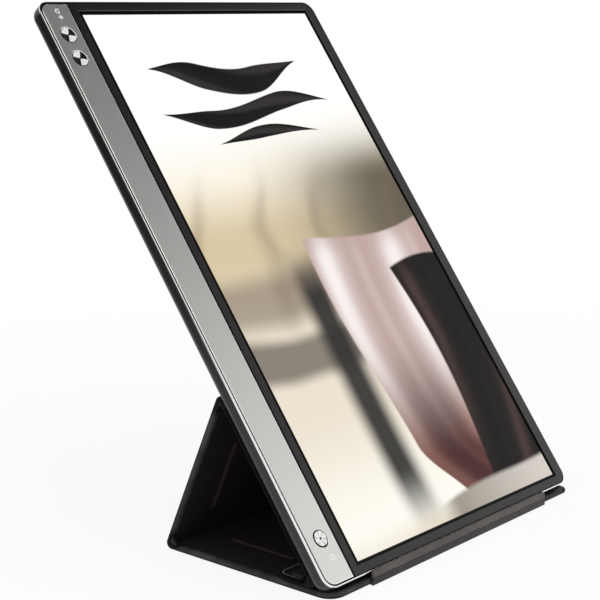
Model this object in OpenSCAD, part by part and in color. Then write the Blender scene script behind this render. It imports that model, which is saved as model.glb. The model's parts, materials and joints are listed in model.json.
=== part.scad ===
// Portable monitor standing upright on its short edge, leaning on a folding cover.
// Millimetres. +Z is up, the screen faces -Y, and the origin is the middle of the
// cover's base panel on the surface that it rests on.

/* [Screen] */
// Width of the lit area
lit_w = 174; // [140:0.5:200]
// Height of the lit area, along the slope
lit_h = 309.4; // [250:0.2:360]
// Black border of the glass that shows around the lit area
glass_border = 1; // [0.4:0.1:2]
// How far the display stack reaches under the frame, from the lit area's edge
stack_margin = 2.6; // [2.2:0.1:3.2]
// Thickness of the liquid crystal cell
cell_t = 1.2; // [0.8:0.1:1.6]
// Thickness of the light guide
guide_t = 2.2; // [1.5:0.1:2.4]
// Thickness of the metal tray behind the light guide
tray_t = 0.4; // [0.3:0.1:0.6]
// Width of the light bar beside the light guide
led_w = 1.8; // [1.2:0.1:2.2]

/* [Monitor body] */
// Depth of the room for circuit boards, behind the display
board_room = 3.45; // [3.1:0.05:4.5]
// Radius of the monitor's corners, seen from the front
corner_r = 7; // [5.5:0.5:9]
// Radius of the edge around the monitor's back
back_r = 4.5; // [3:0.25:5]
// Wall of the rear housing
wall_t = 1.2; // [1:0.1:1.5]
// Clearance of the inner frame inside the housing
frame_gap = 0.15; // [0.1:0.05:0.3]
// Width of the bright edge trim
trim_w = 0.6; // [0.6:0.1:1.1]
// Depth of the bright edge trim
trim_t = 1; // [1:0.1:1.8]
// Chamfer on the outer edge of the trim
trim_chamfer = 0.3; // [0.2:0.05:0.5]
// Dark joint between neighbouring front pieces
seam = 0.4; // [0.15:0.05:0.45]
// Thickness of the front plates
plate_t = 0.7; // [0.5:0.1:0.9]
// Width of the metal control strip
strip_w = 18.4; // [18.4:0.2:24]
// Width of the bezel between the control strip and the glass
rail_left = 6; // [4:0.2:9]
// Width of the bezel on the side away from the control strip
rail_right = 6.8; // [4:0.05:9]
// Width of the bezel over the glass
rail_top = 5.65; // [4:0.05:9]
// Width of the bezel under the glass
rail_bottom = 4.8; // [3.5:0.05:9]

/* [Buttons and sockets] */
// Diameter of the menu and select buttons
button_d = 8.5; // [7:0.1:9]
// Diameter of the power button
power_d = 7.6; // [6.5:0.1:9]
// Gap around each button
button_gap = 0.15; // [0.1:0.05:0.3]
// How far the buttons stand out of the strip
button_proud = 0.15; // [0.1:0.05:0.4]
// Depth of the shallow dish in each button
button_dish = 0.25; // [0.1:0.05:0.4]
// Distance that a button can be pressed
button_travel = 0.4; // [0.2:0.05:0.5]
// Diameter of the stem under a button
stem_d = 3; // [2:0.1:4]
// Distance of the button centres from the monitor's left edge
button_inset = 10.7; // [10.2:0.1:12]
// Distance of the menu button from the monitor's top edge
menu_from_top = 20.1; // [16:0.1:24]
// Distance between the menu and select buttons
button_pitch = 14; // [11.5:0.5:18]
// Distance of the power button from the monitor's bottom edge
power_from_bottom = 23.6; // [18:0.1:30]
// Width of the opening in a USB-C socket
usb_w = 8.34; // [8.34:0.01:8.4]
// Height of the opening in a USB-C socket
usb_h = 2.56; // [2.56:0.01:2.6]
// Sheet thickness of the USB-C shell
usb_wall = 0.3; // [0.2:0.05:0.35]
// Length of the USB-C shell
usb_len = 7.35; // [6.5:0.05:9]
// Distance of the socket from the monitor's left edge
usb_inset = 14; // [13.5:0.1:15]

/* [Boards] */
// Thickness of the circuit boards
board_t = 0.8; // [0.6:0.1:1]
// Width of the circuit boards
board_w = 17; // [16.6:0.2:18]
// Length of the main board, behind the menu and select buttons
main_board_len = 118; // [100:1:180]
// Length of the power board, behind the power button
power_board_len = 52; // [40:1:80]
// Length of the display's driver board
driver_board_len = 105; // [40:1:150]
// Thickness of the flat cables
flex_t = 0.2; // [0.1:0.05:0.25]
// Height of the press switches on the boards
switch_h = 1.5; // [1:0.1:1.8]

/* [Stand] */
// How far the monitor leans back from upright, in degrees
lean = 36; // [32:0.5:40]
// Distance of the monitor's middle to the right of the cover's middle
monitor_shift = -1.8; // [-3:0.1:3]
// How far the monitor's front edge stands ahead of the base panel
front_overhang = 0.1; // [0:0.1:1]
// Gap under the monitor's resting edge
rest_gap = 0.05; // [0.02:0.01:0.1]
// Gap between the monitor's back and the panel that it leans on
hug_gap = 0.35; // [0.1:0.05:0.5]

/* [Cover] */
// Distance of the cover's side edges inside the monitor's width
cover_inset = 0.8; // [0:0.1:4]
// Length of the base panel, up to the rear fold
base_len = 105.8; // [98:0.2:110]
// Length of the rear panel, from fold to fold
rear_len = 86.6; // [84:0.2:92]
// Length of the foot flap, from its fold
foot_len = 20.5; // [17:0.5:30]
// Thickness of the base and rear panels
panel_t = 3; // [2.6:0.1:3.6]
// Thickness of the support panel and the foot flap
thin_t = 2.8; // [2.6:0.1:3]
// Outer skin of the base and rear panels
skin_t = 0.6; // [0.4:0.1:0.8]
// Outer skin of the support panel and the foot flap
thin_skin_t = 0.45; // [0.35:0.05:0.5]
// Soft lining on the inner side of the panels
lining_t = 0.4; // [0.3:0.05:0.5]
// Wall of skin around the edge of the boards
rim_w = 0.8; // [0.6:0.1:1.2]
// Width of skin turned over the boards' inner side
turn_in = 3; // [2:0.5:5]
// Radius of the base panel's front corners
base_corner_r = 9; // [4:0.5:14]
// Radius of the foot flap's free corners
foot_corner_r = 6; // [3:0.5:10]
// Distance from a fold line at which the stiff panels end
fold_half = 3.4; // [3.2:0.1:4]
// Distance from the foot's fold line at which the stiff panels end
foot_fold_half = 2.5; // [2.2:0.1:3.5]
// Gap between the fold lines and the panels' inner faces
fold_clear = 0.15; // [0.1:0.05:0.3]
// Outer radius of the rear fold
rear_fold_r = 3; // [2:0.1:3]
// Outer radius of the top and foot folds
thin_fold_r = 2.7; // [2:0.1:2.7]
// Thickness of the folding fabric, skin and lining together
fold_t = 1.2; // [0.8:0.1:1.4]
// Height of the raised pad on the foot flap
pad_t = 0.8; // [0.5:0.1:1]
// Margin between the raised pad and the turned-in skin
pad_margin = 0.2; // [0:0.1:2]
// Gap between the foot flap and the base panel
foot_gap = 0.1; // [0.05:0.05:0.3]

/* [Stop flap] */
// Length of the stop flap along the monitor's bottom edge
stop_len = 152.5; // [100:0.5:180]
// Thickness of the stop flap, front to back
stop_t = 1.6; // [1.5:0.1:2.4]
// Height of the stop flap's top above the base panel's fold lines
stop_h = 4.2; // [3.4:0.1:5]
// Height of the stop flap's own fold above them
stop_rise = 0.8; // [0.4:0.1:1.2]
// How far the stop flap's front leans back at its top
stop_slope = 0.5; // [0.2:0.1:0.6]
// Gap between the stop flap and the monitor
stop_gap = 0.3; // [0.3:0.05:0.6]
// Radius of the stop flap's top corners
stop_corner_r = 1.5; // [1:0.1:2]

/* [Magnets] */
// Length of the magnets
magnet_len = 20; // [10:1:30]
// Width of the magnets
magnet_w = 8; // [5:0.5:10]
// Thickness of the steel keeper plates
keeper_t = 0.5; // [0.3:0.1:0.6]
// Width of the monitor's keeper plate
keeper_w = 150; // [100:1:155]
// Length of the monitor's keeper plate
keeper_len = 80; // [60:1:86]

/* [Hidden] */

$fn = 64;
// Overlap of cutting solids past the faces that they cut
cut = 1;

// Monitor outline, lying face up: X across, Y up the slope, Z out of the screen
body_w = 2 * trim_w + 3 * seam + strip_w + rail_left + rail_right + 2 * glass_border + lit_w;
body_h = 2 * trim_w + 2 * seam + rail_top + rail_bottom + 2 * glass_border + lit_h;
left_x = -body_w / 2;
edge_in = trim_w + seam;
plate_left = left_x + edge_in;
bezel_left = plate_left + strip_w + seam;
window_left = bezel_left + rail_left;
window_bottom = edge_in + rail_bottom;
window_w = lit_w + 2 * glass_border;
window_h = lit_h + 2 * glass_border;

// Display stack, front to back
layer_gap = 0.05;
cell_z = -plate_t - layer_gap;
guide_z = cell_z - cell_t - layer_gap;
tray_z = guide_z - guide_t - layer_gap;
stack_back = tray_z - tray_t;
body_t = wall_t + board_room - stack_back;
stack_left = window_left + glass_border - stack_margin;
stack_bottom = window_bottom + glass_border - stack_margin;
stack_w = lit_w + 2 * stack_margin;
stack_h = lit_h + 2 * stack_margin;

// Inner frame, between the front plates and the boards
frame_inset = wall_t + frame_gap;
frame_back = stack_back;
rib_w = 2;
strip_bay_left = left_x + frame_inset + rib_w;
strip_bay_w = stack_left - layer_gap - rib_w - strip_bay_left;

// Boards stand off the housing's back wall
floor_z = wall_t - body_t;
boss_h = 0.8;
boss_d = 3.2;
board_z = floor_z + boss_h;
board_top_z = board_z + board_t;
// The boards' corners keep clear of the rounding along the housing's inner back edge
board_gap = 0.3;
board_side_gap = 2.8;
floor_r = back_r - wall_t;
floor_round = floor_r - sqrt(floor_r ^ 2 - (floor_r - boss_h) ^ 2);
board_x = left_x + wall_t + floor_round + board_side_gap;
corner_reach = corner_r - wall_t - floor_round - board_gap;
board_end = corner_r - sqrt(corner_reach ^ 2 - (left_x + corner_r - board_x) ^ 2);
power_board_y = board_end;
main_board_y = body_h - board_end - main_board_len;
screw_d = 1.4;
screw_head_d = 2.6;
screw_head_h = 0.6;
screw_bite = 0.4;
screw_edge = 2.2;

// Flat cables, and the driver board on the back of the display
board_flex_w = 6;
panel_flex_w = 12;
flex_lap = 4;
panel_flex_y = main_board_y + 8;
driver_w = 7;
driver_x = stack_left + 6;
driver_z = stack_back - layer_gap - board_t;

// Buttons
button_x = left_x + button_inset;
power_y = power_from_bottom;
menu_y = body_h - menu_from_top;
select_y = menu_y - button_pitch;
switch_top_h = 0.4;
flange_w = 1.1;
flange_t = 0.6;
flange_top = -plate_t - 0.1;
bay_gap = 0.3;
bay_top_z = board_top_z + switch_h + switch_top_h + bay_gap;
switch_w = 4.2;
switch_top_d = 2.2;
switch_top_z = board_top_z + switch_h + switch_top_h;
stem_end_z = switch_top_z + button_travel + 0.05;

// Socket in the monitor's top end
usb_x = left_x + usb_inset;
usb_mid_z = board_top_z + usb_h / 2 + usb_wall;
usb_recess = 0.5;
usb_room = 1;
tongue_w = 6.2;
tongue_t = 0.7;
tongue_short = 1.2;

// Fold lines of the cover, as [y, z], and the direction of each panel in degrees
fold_up = panel_t + fold_clear;
thin_up = thin_t + fold_clear;
base_front_y = -(base_len + fold_up) / 2;
rear_fold_at = [base_front_y + base_len, fold_up];
cover_w = body_w - 2 * cover_inset;
slope_up = [sin(lean), cos(lean)];
slope_back = [cos(lean), -sin(lean)];
heel_drop = back_r * cos(lean) - (body_t - back_r) * sin(lean);
monitor_at = [base_front_y - front_overhang, panel_t + rest_gap + back_r - heel_drop];
support_line = monitor_at + (body_t + hug_gap + thin_up) * slope_back;
to_line = support_line - rear_fold_at;
line_along = to_line * slope_up;
top_along = sqrt(line_along ^ 2 - to_line * to_line + rear_len ^ 2) - line_along;
top_fold_at = support_line + top_along * slope_up;
foot_fold_z = panel_t + foot_gap + thin_up;
foot_along = (foot_fold_z - support_line[1]) / cos(lean);
foot_fold_at = support_line + foot_along * slope_up;
support_len = top_along - foot_along;
base_angle = 0;
rear_angle = atan2(top_fold_at[1] - rear_fold_at[1], top_fold_at[0] - rear_fold_at[0]);
support_angle = 270 - lean;
foot_angle = 360;

// Stop flap
stop_back_y = monitor_at[0] - stop_gap;
stop_front_y = stop_back_y - stop_t;
stop_base_z = fold_up + stop_rise + fold_clear;
stop_top_z = fold_up + stop_h;
stop_bevel = 0.6;
stop_back_t = 0.5;
stop_core_t = 0.4;
stop_core_h = 1.5;
stop_fold_inset = 2;
skin_lift = 0.1;

// Magnets and keepers in the cover
magnet_t = thin_t - thin_skin_t - lining_t - 0.2;
magnet_rows = 2;
magnet_cols = 3;
base_keeper_w = 160;
base_keeper_len = 12;
keeper_from_front = 20;

// ---------- shared shapes ----------

// Flat outline of w by h with four corners of radius r, its bottom left at the origin
module rounded_rect(w, h, r) {
    translate([r, 0])
        square([w - 2 * r, h]);
    translate([0, r])
        square([w, h - 2 * r]);
    for (x = [r, w - r], y = [r, h - r])
        translate([x, y])
            circle(r);
}

// Flat outline of the monitor, set in from its edge
module body_outline(inset) {
    translate([left_x + inset, inset])
        rounded_rect(body_w - 2 * inset, body_h - 2 * inset, corner_r - inset);
}

// Cross-section of the monitor with both back edges rounded; X across, Y towards the front
module back_section(w, t, r) {
    translate([-w / 2, r])
        square([w, t - r]);
    translate([r - w / 2, 0])
        square([w - 2 * r, r]);
    for (side = [-1, 1])
        translate([side * (w / 2 - r), r])
            circle(r);
}

// Half of the cross-section through a corner, for turning about the corner's axis
module back_half_section(r_out, t, r) {
    intersection() {
        back_section(2 * r_out, t, r);
        square([r_out, t]);
    }
}

// Slab with rounded corners and a rounded back edge: w by h, from z = back up by t
module soft_slab(w, h, t, r_corner, r_back, back) {
    translate([0, 0, back]) {
        for (x = [-1, 1], y = [-1, 1])
            translate([x * (w / 2 - r_corner), y * (h / 2 - r_corner), 0])
                rotate_extrude()
                    back_half_section(r_corner, t, r_back);
        translate([0, h / 2 - r_corner, 0])
            rotate([90, 0, 0])
                linear_extrude(h - 2 * r_corner)
                    back_section(w, t, r_back);
        translate([r_corner - w / 2, 0, 0])
            rotate([90, 0, 90])
                linear_extrude(w - 2 * r_corner)
                    back_section(h, t, r_back);
    }
}

// Carries the children's flat section around the monitor's outline; section x is outwards
module around_edge() {
    arm_w = body_w / 2 - corner_r;
    arm_h = body_h / 2 - corner_r;
    translate([0, body_h / 2, 0]) {
        for (turn = [0, 180])
            rotate(turn) {
                translate([arm_w, arm_h, 0])
                    rotate_extrude(angle = 90)
                        translate([corner_r, 0])
                            children();
                translate([-arm_w, arm_h, 0])
                    rotate(90)
                        rotate_extrude(angle = 90)
                            translate([corner_r, 0])
                                children();
                translate([arm_w + corner_r, arm_h, 0])
                    rotate([90, 0, 0])
                        linear_extrude(2 * arm_h)
                            children();
                translate([-arm_w, arm_h + corner_r, 0])
                    rotate([90, 0, 90])
                        linear_extrude(2 * arm_w)
                            children();
            }
    }
}

// Stands the face-up monitor on the base panel, leaning back
module on_stand() {
    translate([monitor_shift, monitor_at[0], monitor_at[1]])
        rotate([90 - lean, 0, 0])
            children();
}

// Places a panel: Y runs along it from its fold line, Z points to its inner side
module on_panel(fold, angle) {
    translate([0, fold[0], fold[1]])
        rotate([angle, 0, 0])
            children();
}

// Box between two corners
module block(low, high) {
    translate(low)
        cube(high - low);
}

// Flat outline of a panel from y0 to y1, with corner radii r0 and r1 at those ends
module panel_outline(y0, y1, r0, r1, inset) {
    w = cover_w - 2 * inset;
    a = max(r0 - inset, 0.2);
    b = max(r1 - inset, 0.2);
    low = y0 + inset;
    high = y1 - inset;
    translate([-w / 2, low + a])
        square([w, high - low - a - b]);
    translate([a - w / 2, low])
        square([w - 2 * a, a + b]);
    translate([b - w / 2, high - a - b])
        square([w - 2 * b, a + b]);
    for (side = [-1, 1]) {
        translate([side * (w / 2 - a), low + a])
            circle(a);
        translate([side * (w / 2 - b), high - b])
            circle(b);
    }
}

// Layer of a panel between two depths below its fold line
module panel_layer(y0, y1, r0, r1, inset, deep, shallow) {
    translate([0, 0, -deep])
        linear_extrude(deep - shallow)
            panel_outline(y0, y1, r0, r1, inset);
}

// Outer skin of a panel, wrapped round its board and turned in over the inner side
module panel_skin(y0, y1, r0, r1, t, outer) {
    difference() {
        panel_layer(y0, y1, r0, r1, 0, t + fold_clear, fold_clear);
        panel_layer(y0, y1, r0, r1, rim_w, t + fold_clear - outer, fold_clear + lining_t);
        panel_layer(y0, y1, r0, r1, turn_in, fold_clear + lining_t + cut, fold_clear - cut);
    }
}

module panel_board(y0, y1, r0, r1, t, outer) {
    panel_layer(y0, y1, r0, r1, rim_w, t + fold_clear - outer, fold_clear + lining_t);
}

module panel_lining(y0, y1, r0, r1) {
    panel_layer(y0, y1, r0, r1, turn_in, fold_clear + lining_t, fold_clear);
}

// Strip of folding fabric between two panels that meet at a fold line. The panels run
// along the directions a and b, and reach out to reach_a and reach_b from the line.
module fold_strip(fold, a, reach_a, half_a, b, reach_b, half_b, r) {
    out_a = [sin(a), -cos(a)];
    out_b = [sin(b), -cos(b)];
    share = out_a * out_b;
    p = reach_a - r;
    q = reach_b - r;
    tip = ((p - q * share) * out_a + (q - p * share) * out_b) / (1 - share ^ 2);
    tab_a = tip * [cos(a), sin(a)];
    tab_b = tip * [cos(b), sin(b)];
    translate([-cover_w / 2, fold[0], fold[1]])
        rotate([90, 0, 90])
            linear_extrude(cover_w) {
                rotate(a)
                    translate([-half_a, -reach_a])
                        square([half_a + tab_a, fold_t]);
                rotate(b)
                    translate([tab_b, -reach_b])
                        square([half_b - tab_b, fold_t]);
                translate(tip)
                    circle(r);
            }
}

// Round button: dished cap, retaining flange and stem
module button(y, d) {
    on_stand()
        translate([button_x, y, 0]) {
            difference() {
                translate([0, 0, flange_top - flange_t])
                    cylinder(d = d, h = button_proud - flange_top + flange_t);
                translate([0, 0, button_proud - button_dish])
                    cylinder(d1 = 0.4, d2 = d - 1, h = button_dish + 0.001);
            }
            translate([0, 0, flange_top - flange_t])
                cylinder(d = d + 2 * flange_w, h = flange_t);
            translate([0, 0, stem_end_z])
                cylinder(d = stem_d, h = flange_top - flange_t - stem_end_z);
        }
}

// Hole through the strip for a button
module button_hole(y, d) {
    translate([button_x, y, -plate_t - cut])
        cylinder(d = d + 2 * button_gap, h = plate_t + 2 * cut);
}

// Room in the inner frame for a button's flange and stem
module button_bay(y, d) {
    translate([button_x, y, flange_top - flange_t - button_travel - bay_gap])
        cylinder(d = d + 2 * flange_w + 2 * bay_gap, h = 4);
    translate([button_x, y, frame_back - cut])
        cylinder(d = stem_d + 2 * bay_gap, h = 8);
}

// Flat ring with round ends: the outline of a USB-C opening, grown by g
module usb_outline(g) {
    h = usb_h + 2 * g;
    w = usb_w + 2 * g;
    square([w - h, h], center = true);
    for (side = [-1, 1])
        translate([side * (w - h) / 2, 0])
            circle(d = h);
}

// Puts the children in the monitor's top end, with +Z pointing out of the socket's mouth
module at_socket() {
    on_stand()
        translate([usb_x, body_h - usb_recess, usb_mid_z])
            rotate([-90, 0, 0])
                children();
}

// Puts the children at each board screw: one near each end of a board, on opposite edges
module at_screws() {
    x_near = board_x + screw_edge;
    x_far = board_x + board_w - screw_edge;
    past_socket = usb_recess + usb_len + boss_d;
    for (at = [[x_near, power_board_y + screw_edge],
               [x_far, power_board_y + power_board_len - screw_edge],
               [x_near, main_board_y + screw_edge],
               [x_far, body_h - past_socket]])
        translate([at[0], at[1], 0])
            children();
}

// ---------- monitor ----------

module rear_housing() {
    color("#1b1b1d")
        on_stand()
            difference() {
                union() {
                    difference() {
                        translate([0, body_h / 2, 0])
                            soft_slab(body_w, body_h, body_t, corner_r, back_r, -body_t);
                        translate([0, body_h / 2, 0])
                            soft_slab(body_w - 2 * wall_t, body_h - 2 * wall_t, body_t,
                                      corner_r - wall_t, back_r - wall_t, floor_z);
                        translate([0, 0, -trim_t])
                            linear_extrude(trim_t + cut)
                                body_outline(-cut);
                    }
                    at_screws()
                        translate([0, 0, floor_z - layer_gap])
                            cylinder(d = boss_d, h = boss_h + layer_gap, $fn = 32);
                }
                at_screws()
                    translate([0, 0, floor_z - screw_bite])
                        cylinder(d = screw_d, h = boss_h + screw_bite + cut, $fn = 32);
                translate([usb_x, body_h + cut, usb_mid_z])
                    rotate([90, 0, 0])
                        linear_extrude(wall_t + back_r + cut)
                            usb_outline(usb_wall + layer_gap);
            }
}

module mid_frame() {
    usb_bay_y = body_h - usb_recess - usb_len - usb_room;
    usb_bay_top = usb_mid_z + usb_h / 2 + usb_wall + bay_gap;
    bay_y = frame_inset + rib_w;
    color("#151515")
        on_stand()
            difference() {
                translate([0, 0, frame_back])
                    linear_extrude(-plate_t - frame_back)
                        body_outline(frame_inset);
                translate([stack_left - layer_gap, stack_bottom - layer_gap, frame_back - cut])
                    cube([stack_w + 2 * layer_gap, stack_h + 2 * layer_gap,
                          cut - frame_back]);
                // Room for the boards' parts behind the strip
                translate([strip_bay_left, bay_y, frame_back - cut])
                    cube([strip_bay_w, usb_bay_y - rib_w - bay_y, bay_top_z - frame_back + cut]);
                // Room for the socket, open at the top end
                translate([usb_x - usb_w / 2 - usb_room, usb_bay_y, frame_back - cut])
                    cube([usb_w + 2 * usb_room, body_h - usb_bay_y,
                          usb_bay_top - frame_back + cut]);
                button_bay(menu_y, button_d);
                button_bay(select_y, button_d);
                button_bay(power_y, power_d);
            }
}

module edge_trim() {
    color("#e6e6e6")
        on_stand()
            around_edge()
                difference() {
                    translate([-trim_w, -trim_t])
                        square([trim_w, trim_t]);
                    polygon([[-trim_chamfer, 0.01], [0.01, 0.01], [0.01, -trim_chamfer]]);
                }
}

module front_bezel() {
    color("#2c2a29")
        on_stand()
            translate([0, 0, -plate_t])
                linear_extrude(plate_t)
                    difference() {
                        body_outline(edge_in);
                        translate([left_x - cut, -cut])
                            square([bezel_left - left_x + cut, body_h + 2 * cut]);
                        translate([window_left, window_bottom])
                            square([window_w, window_h]);
                    }
}

module control_strip() {
    color("#b9b7b5")
        on_stand()
            difference() {
                translate([0, 0, -plate_t])
                    linear_extrude(plate_t)
                        intersection() {
                            body_outline(edge_in);
                            translate([plate_left - cut, 0])
                                square([strip_w + cut, body_h]);
                        }
                button_hole(menu_y, button_d);
                button_hole(select_y, button_d);
                button_hole(power_y, power_d);
            }
}

module lcd_cell() {
    color("#e8dfd2")
        on_stand()
            translate([stack_left, stack_bottom, cell_z - cell_t])
                cube([stack_w, stack_h, cell_t]);
}

module light_guide() {
    color("#dfe9ee")
        on_stand()
            translate([stack_left + led_w + layer_gap, stack_bottom, guide_z - guide_t])
                cube([stack_w - led_w - layer_gap, stack_h, guide_t]);
}

module led_bar() {
    color("#f4e9a8")
        on_stand()
            translate([stack_left, stack_bottom, guide_z - guide_t])
                cube([led_w, stack_h, guide_t]);
}

module backlight_tray() {
    color("#a9adb1")
        on_stand()
            translate([stack_left, stack_bottom, tray_z - tray_t])
                cube([stack_w, stack_h, tray_t]);
}

module keeper_plate() {
    color("#8d9196")
        on_stand()
            translate([-keeper_w / 2 + strip_w / 2, foot_along + fold_half, floor_z])
                cube([keeper_w, keeper_len, keeper_t]);
}

// Circuit board from y, of length len, with its screw holes
module circuit_board(y, len) {
    color("#1d5b3a")
        on_stand()
            difference() {
                translate([board_x, y, board_z])
                    cube([board_w, len, board_t]);
                at_screws()
                    translate([0, 0, board_z - cut])
                        cylinder(d = screw_d, h = board_t + 2 * cut, $fn = 32);
            }
}

module main_board() {
    circuit_board(main_board_y, main_board_len);
}

module power_board() {
    circuit_board(power_board_y, power_board_len);
}

// Processor, memory chips, a row of power chips and the panel cable's connector
module main_chips() {
    chip_h = 0.8;
    processor_w = 9;
    chip_gap = 3;
    row_x = board_x + chip_gap;
    row_y = panel_flex_y + panel_flex_w + chip_gap;
    color("#202124")
        on_stand() {
            for (i = [0:3])
                translate([row_x + chip_gap * i, row_y, board_top_z])
                    cube([chip_gap - 0.6, 4, chip_h]);
            translate([row_x, row_y + 7, board_top_z])
                cube([processor_w, processor_w, chip_h]);
            for (i = [0, 1])
                translate([row_x, row_y + 7 + processor_w + chip_gap + 8 * i, board_top_z])
                    cube([processor_w, 5, chip_h]);
            translate([board_x + board_w - flex_lap, panel_flex_y, board_top_z])
                cube([flex_lap, panel_flex_w, driver_z - flex_t - board_top_z]);
        }
}

module board_flex() {
    low = power_board_y + power_board_len - flex_lap;
    color("#c8761c")
        on_stand()
            translate([board_x + (board_w - board_flex_w) / 2, low, board_top_z])
                cube([board_flex_w, main_board_y + flex_lap - low, flex_t]);
}

module driver_board() {
    color("#1d5b3a")
        on_stand()
            translate([driver_x, panel_flex_y + panel_flex_w / 2 - driver_board_len / 2, driver_z])
                cube([driver_w, driver_board_len, board_t]);
}

module panel_flex() {
    from_x = board_x + board_w - flex_lap;
    color("#c8761c")
        on_stand()
            translate([from_x, panel_flex_y, driver_z - flex_t])
                cube([driver_x + flex_lap - from_x, panel_flex_w, flex_t]);
}

module usb_shell() {
    color("#c9cccf")
        at_socket()
            translate([0, 0, -usb_len])
                difference() {
                    linear_extrude(usb_len)
                        usb_outline(usb_wall);
                    translate([0, 0, usb_wall])
                        linear_extrude(usb_len)
                            usb_outline(0);
                }
}

module usb_tongue() {
    color("#1a1a1a")
        at_socket()
            translate([-tongue_w / 2, -tongue_t / 2, usb_wall - usb_len])
                cube([tongue_w, tongue_t, usb_len - usb_wall - tongue_short]);
}

module press_switches() {
    color("#303236")
        on_stand()
            for (y = [menu_y, select_y, power_y])
                translate([button_x, y, board_top_z]) {
                    translate([-switch_w / 2, -switch_w / 2, 0])
                        cube([switch_w, switch_w, switch_h]);
                    cylinder(d = switch_top_d, h = switch_h + switch_top_h, $fn = 32);
                }
}

module board_screws() {
    color("#c9cccf")
        on_stand()
            at_screws() {
                translate([0, 0, board_top_z])
                    cylinder(d = screw_head_d, h = screw_head_h, $fn = 32);
                translate([0, 0, floor_z])
                    cylinder(d = screw_d, h = board_top_z - floor_z, $fn = 32);
            }
}

module menu_button() {
    color("#d4d4d4") button(menu_y, button_d);
}

module select_button() {
    color("#d4d4d4") button(select_y, button_d);
}

module power_button() {
    color("#d4d4d4") button(power_y, power_d);
}

// ---------- cover ----------

// The base panel's frame starts at its front edge
base_at = [base_front_y, fold_up];
base_end = base_len - fold_half;
rear_end = rear_len - fold_half;
support_end = support_len - foot_fold_half;
plain_r = 0.5;

module base_skin() {
    color("#1c1b1b")
        on_panel(base_at, base_angle)
            panel_skin(0, base_end, base_corner_r, plain_r, panel_t, skin_t);
}

module base_board() {
    color("#6b6355")
        on_panel(base_at, base_angle)
            difference() {
                panel_board(0, base_end, base_corner_r, plain_r, panel_t, skin_t);
                keeper_room();
            }
}

// Pocket for the steel strip, under the lining of the base panel
module keeper_room() {
    translate([-base_keeper_w / 2, keeper_from_front, -fold_clear - lining_t - keeper_t])
        cube([base_keeper_w, base_keeper_len, keeper_t]);
}

module base_keeper() {
    color("#8d9196")
        on_panel(base_at, base_angle)
            keeper_room();
}

module base_lining() {
    color("#242222")
        on_panel(base_at, base_angle)
            panel_lining(0, base_end, base_corner_r, plain_r);
}

module rear_fold() {
    color("#1c1b1b")
        fold_strip(rear_fold_at, base_angle, fold_up, fold_half,
                   rear_angle, fold_up, fold_half, rear_fold_r);
}

module rear_skin() {
    color("#1c1b1b")
        on_panel(rear_fold_at, rear_angle)
            panel_skin(fold_half, rear_end, plain_r, plain_r, panel_t, skin_t);
}

module rear_board() {
    color("#6b6355")
        on_panel(rear_fold_at, rear_angle)
            panel_board(fold_half, rear_end, plain_r, plain_r, panel_t, skin_t);
}

module rear_lining() {
    color("#242222")
        on_panel(rear_fold_at, rear_angle)
            panel_lining(fold_half, rear_end, plain_r, plain_r);
}

module top_fold() {
    color("#1c1b1b")
        fold_strip(top_fold_at, rear_angle, fold_up, fold_half,
                   support_angle, thin_up, fold_half, thin_fold_r);
}

module support_skin() {
    color("#1c1b1b")
        on_panel(top_fold_at, support_angle)
            panel_skin(fold_half, support_end, plain_r, plain_r, thin_t, thin_skin_t);
}

// Places the support panel's magnets, in rows along the panel
module support_magnet_rooms() {
    row_step = support_len / (magnet_rows + 1);
    col_step = cover_w / (magnet_cols + 1);
    for (row = [1:magnet_rows], col = [1:magnet_cols])
        translate([col * col_step - cover_w / 2 - magnet_len / 2,
                   row * row_step - magnet_w / 2, -thin_up + thin_skin_t])
            cube([magnet_len, magnet_w, magnet_t]);
}

module support_board() {
    color("#6b6355")
        on_panel(top_fold_at, support_angle)
            difference() {
                panel_board(fold_half, support_end, plain_r, plain_r, thin_t, thin_skin_t);
                support_magnet_rooms();
            }
}

module support_magnets() {
    color("#b4b7ba")
        on_panel(top_fold_at, support_angle)
            support_magnet_rooms();
}

module support_lining() {
    color("#242222")
        on_panel(top_fold_at, support_angle)
            panel_lining(fold_half, support_end, plain_r, plain_r);
}

module foot_fold() {
    color("#1c1b1b")
        fold_strip(foot_fold_at, support_angle, thin_up, foot_fold_half,
                   foot_angle, thin_up, foot_fold_half, thin_fold_r);
}

module foot_skin() {
    color("#1c1b1b")
        on_panel(foot_fold_at, foot_angle)
            panel_skin(foot_fold_half, foot_len, plain_r, foot_corner_r, thin_t, thin_skin_t);
}

// Places the foot flap's magnets, in one row over the base's steel strip
module foot_magnet_rooms() {
    col_step = cover_w / (magnet_cols + 1);
    for (col = [1:magnet_cols])
        translate([col * col_step - cover_w / 2 - magnet_len / 2,
                   (foot_fold_half + foot_len - magnet_w) / 2, -thin_up + thin_skin_t])
            cube([magnet_len, magnet_w, magnet_t]);
}

module foot_board() {
    color("#6b6355")
        on_panel(foot_fold_at, foot_angle)
            difference() {
                panel_board(foot_fold_half, foot_len, plain_r, foot_corner_r,
                            thin_t, thin_skin_t);
                foot_magnet_rooms();
            }
}

module foot_magnets() {
    color("#b4b7ba")
        on_panel(foot_fold_at, foot_angle)
            foot_magnet_rooms();
}

module foot_pad() {
    color("#242222")
        on_panel(foot_fold_at, foot_angle)
            panel_layer(foot_fold_half, foot_len, plain_r, foot_corner_r,
                        turn_in + pad_margin, fold_clear + lining_t, fold_clear - pad_t);
}

// ---------- stop flap ----------

// Front view of the flap, standing on z = 0 with rounded top corners
module stop_front(len, h) {
    r = stop_corner_r;
    translate([-len / 2, 0])
        square([len, h - r]);
    translate([r - len / 2, 0])
        square([len - 2 * r, h]);
    for (side = [-1, 1])
        translate([side * (len / 2 - r), h - r])
            circle(r);
}

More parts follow.
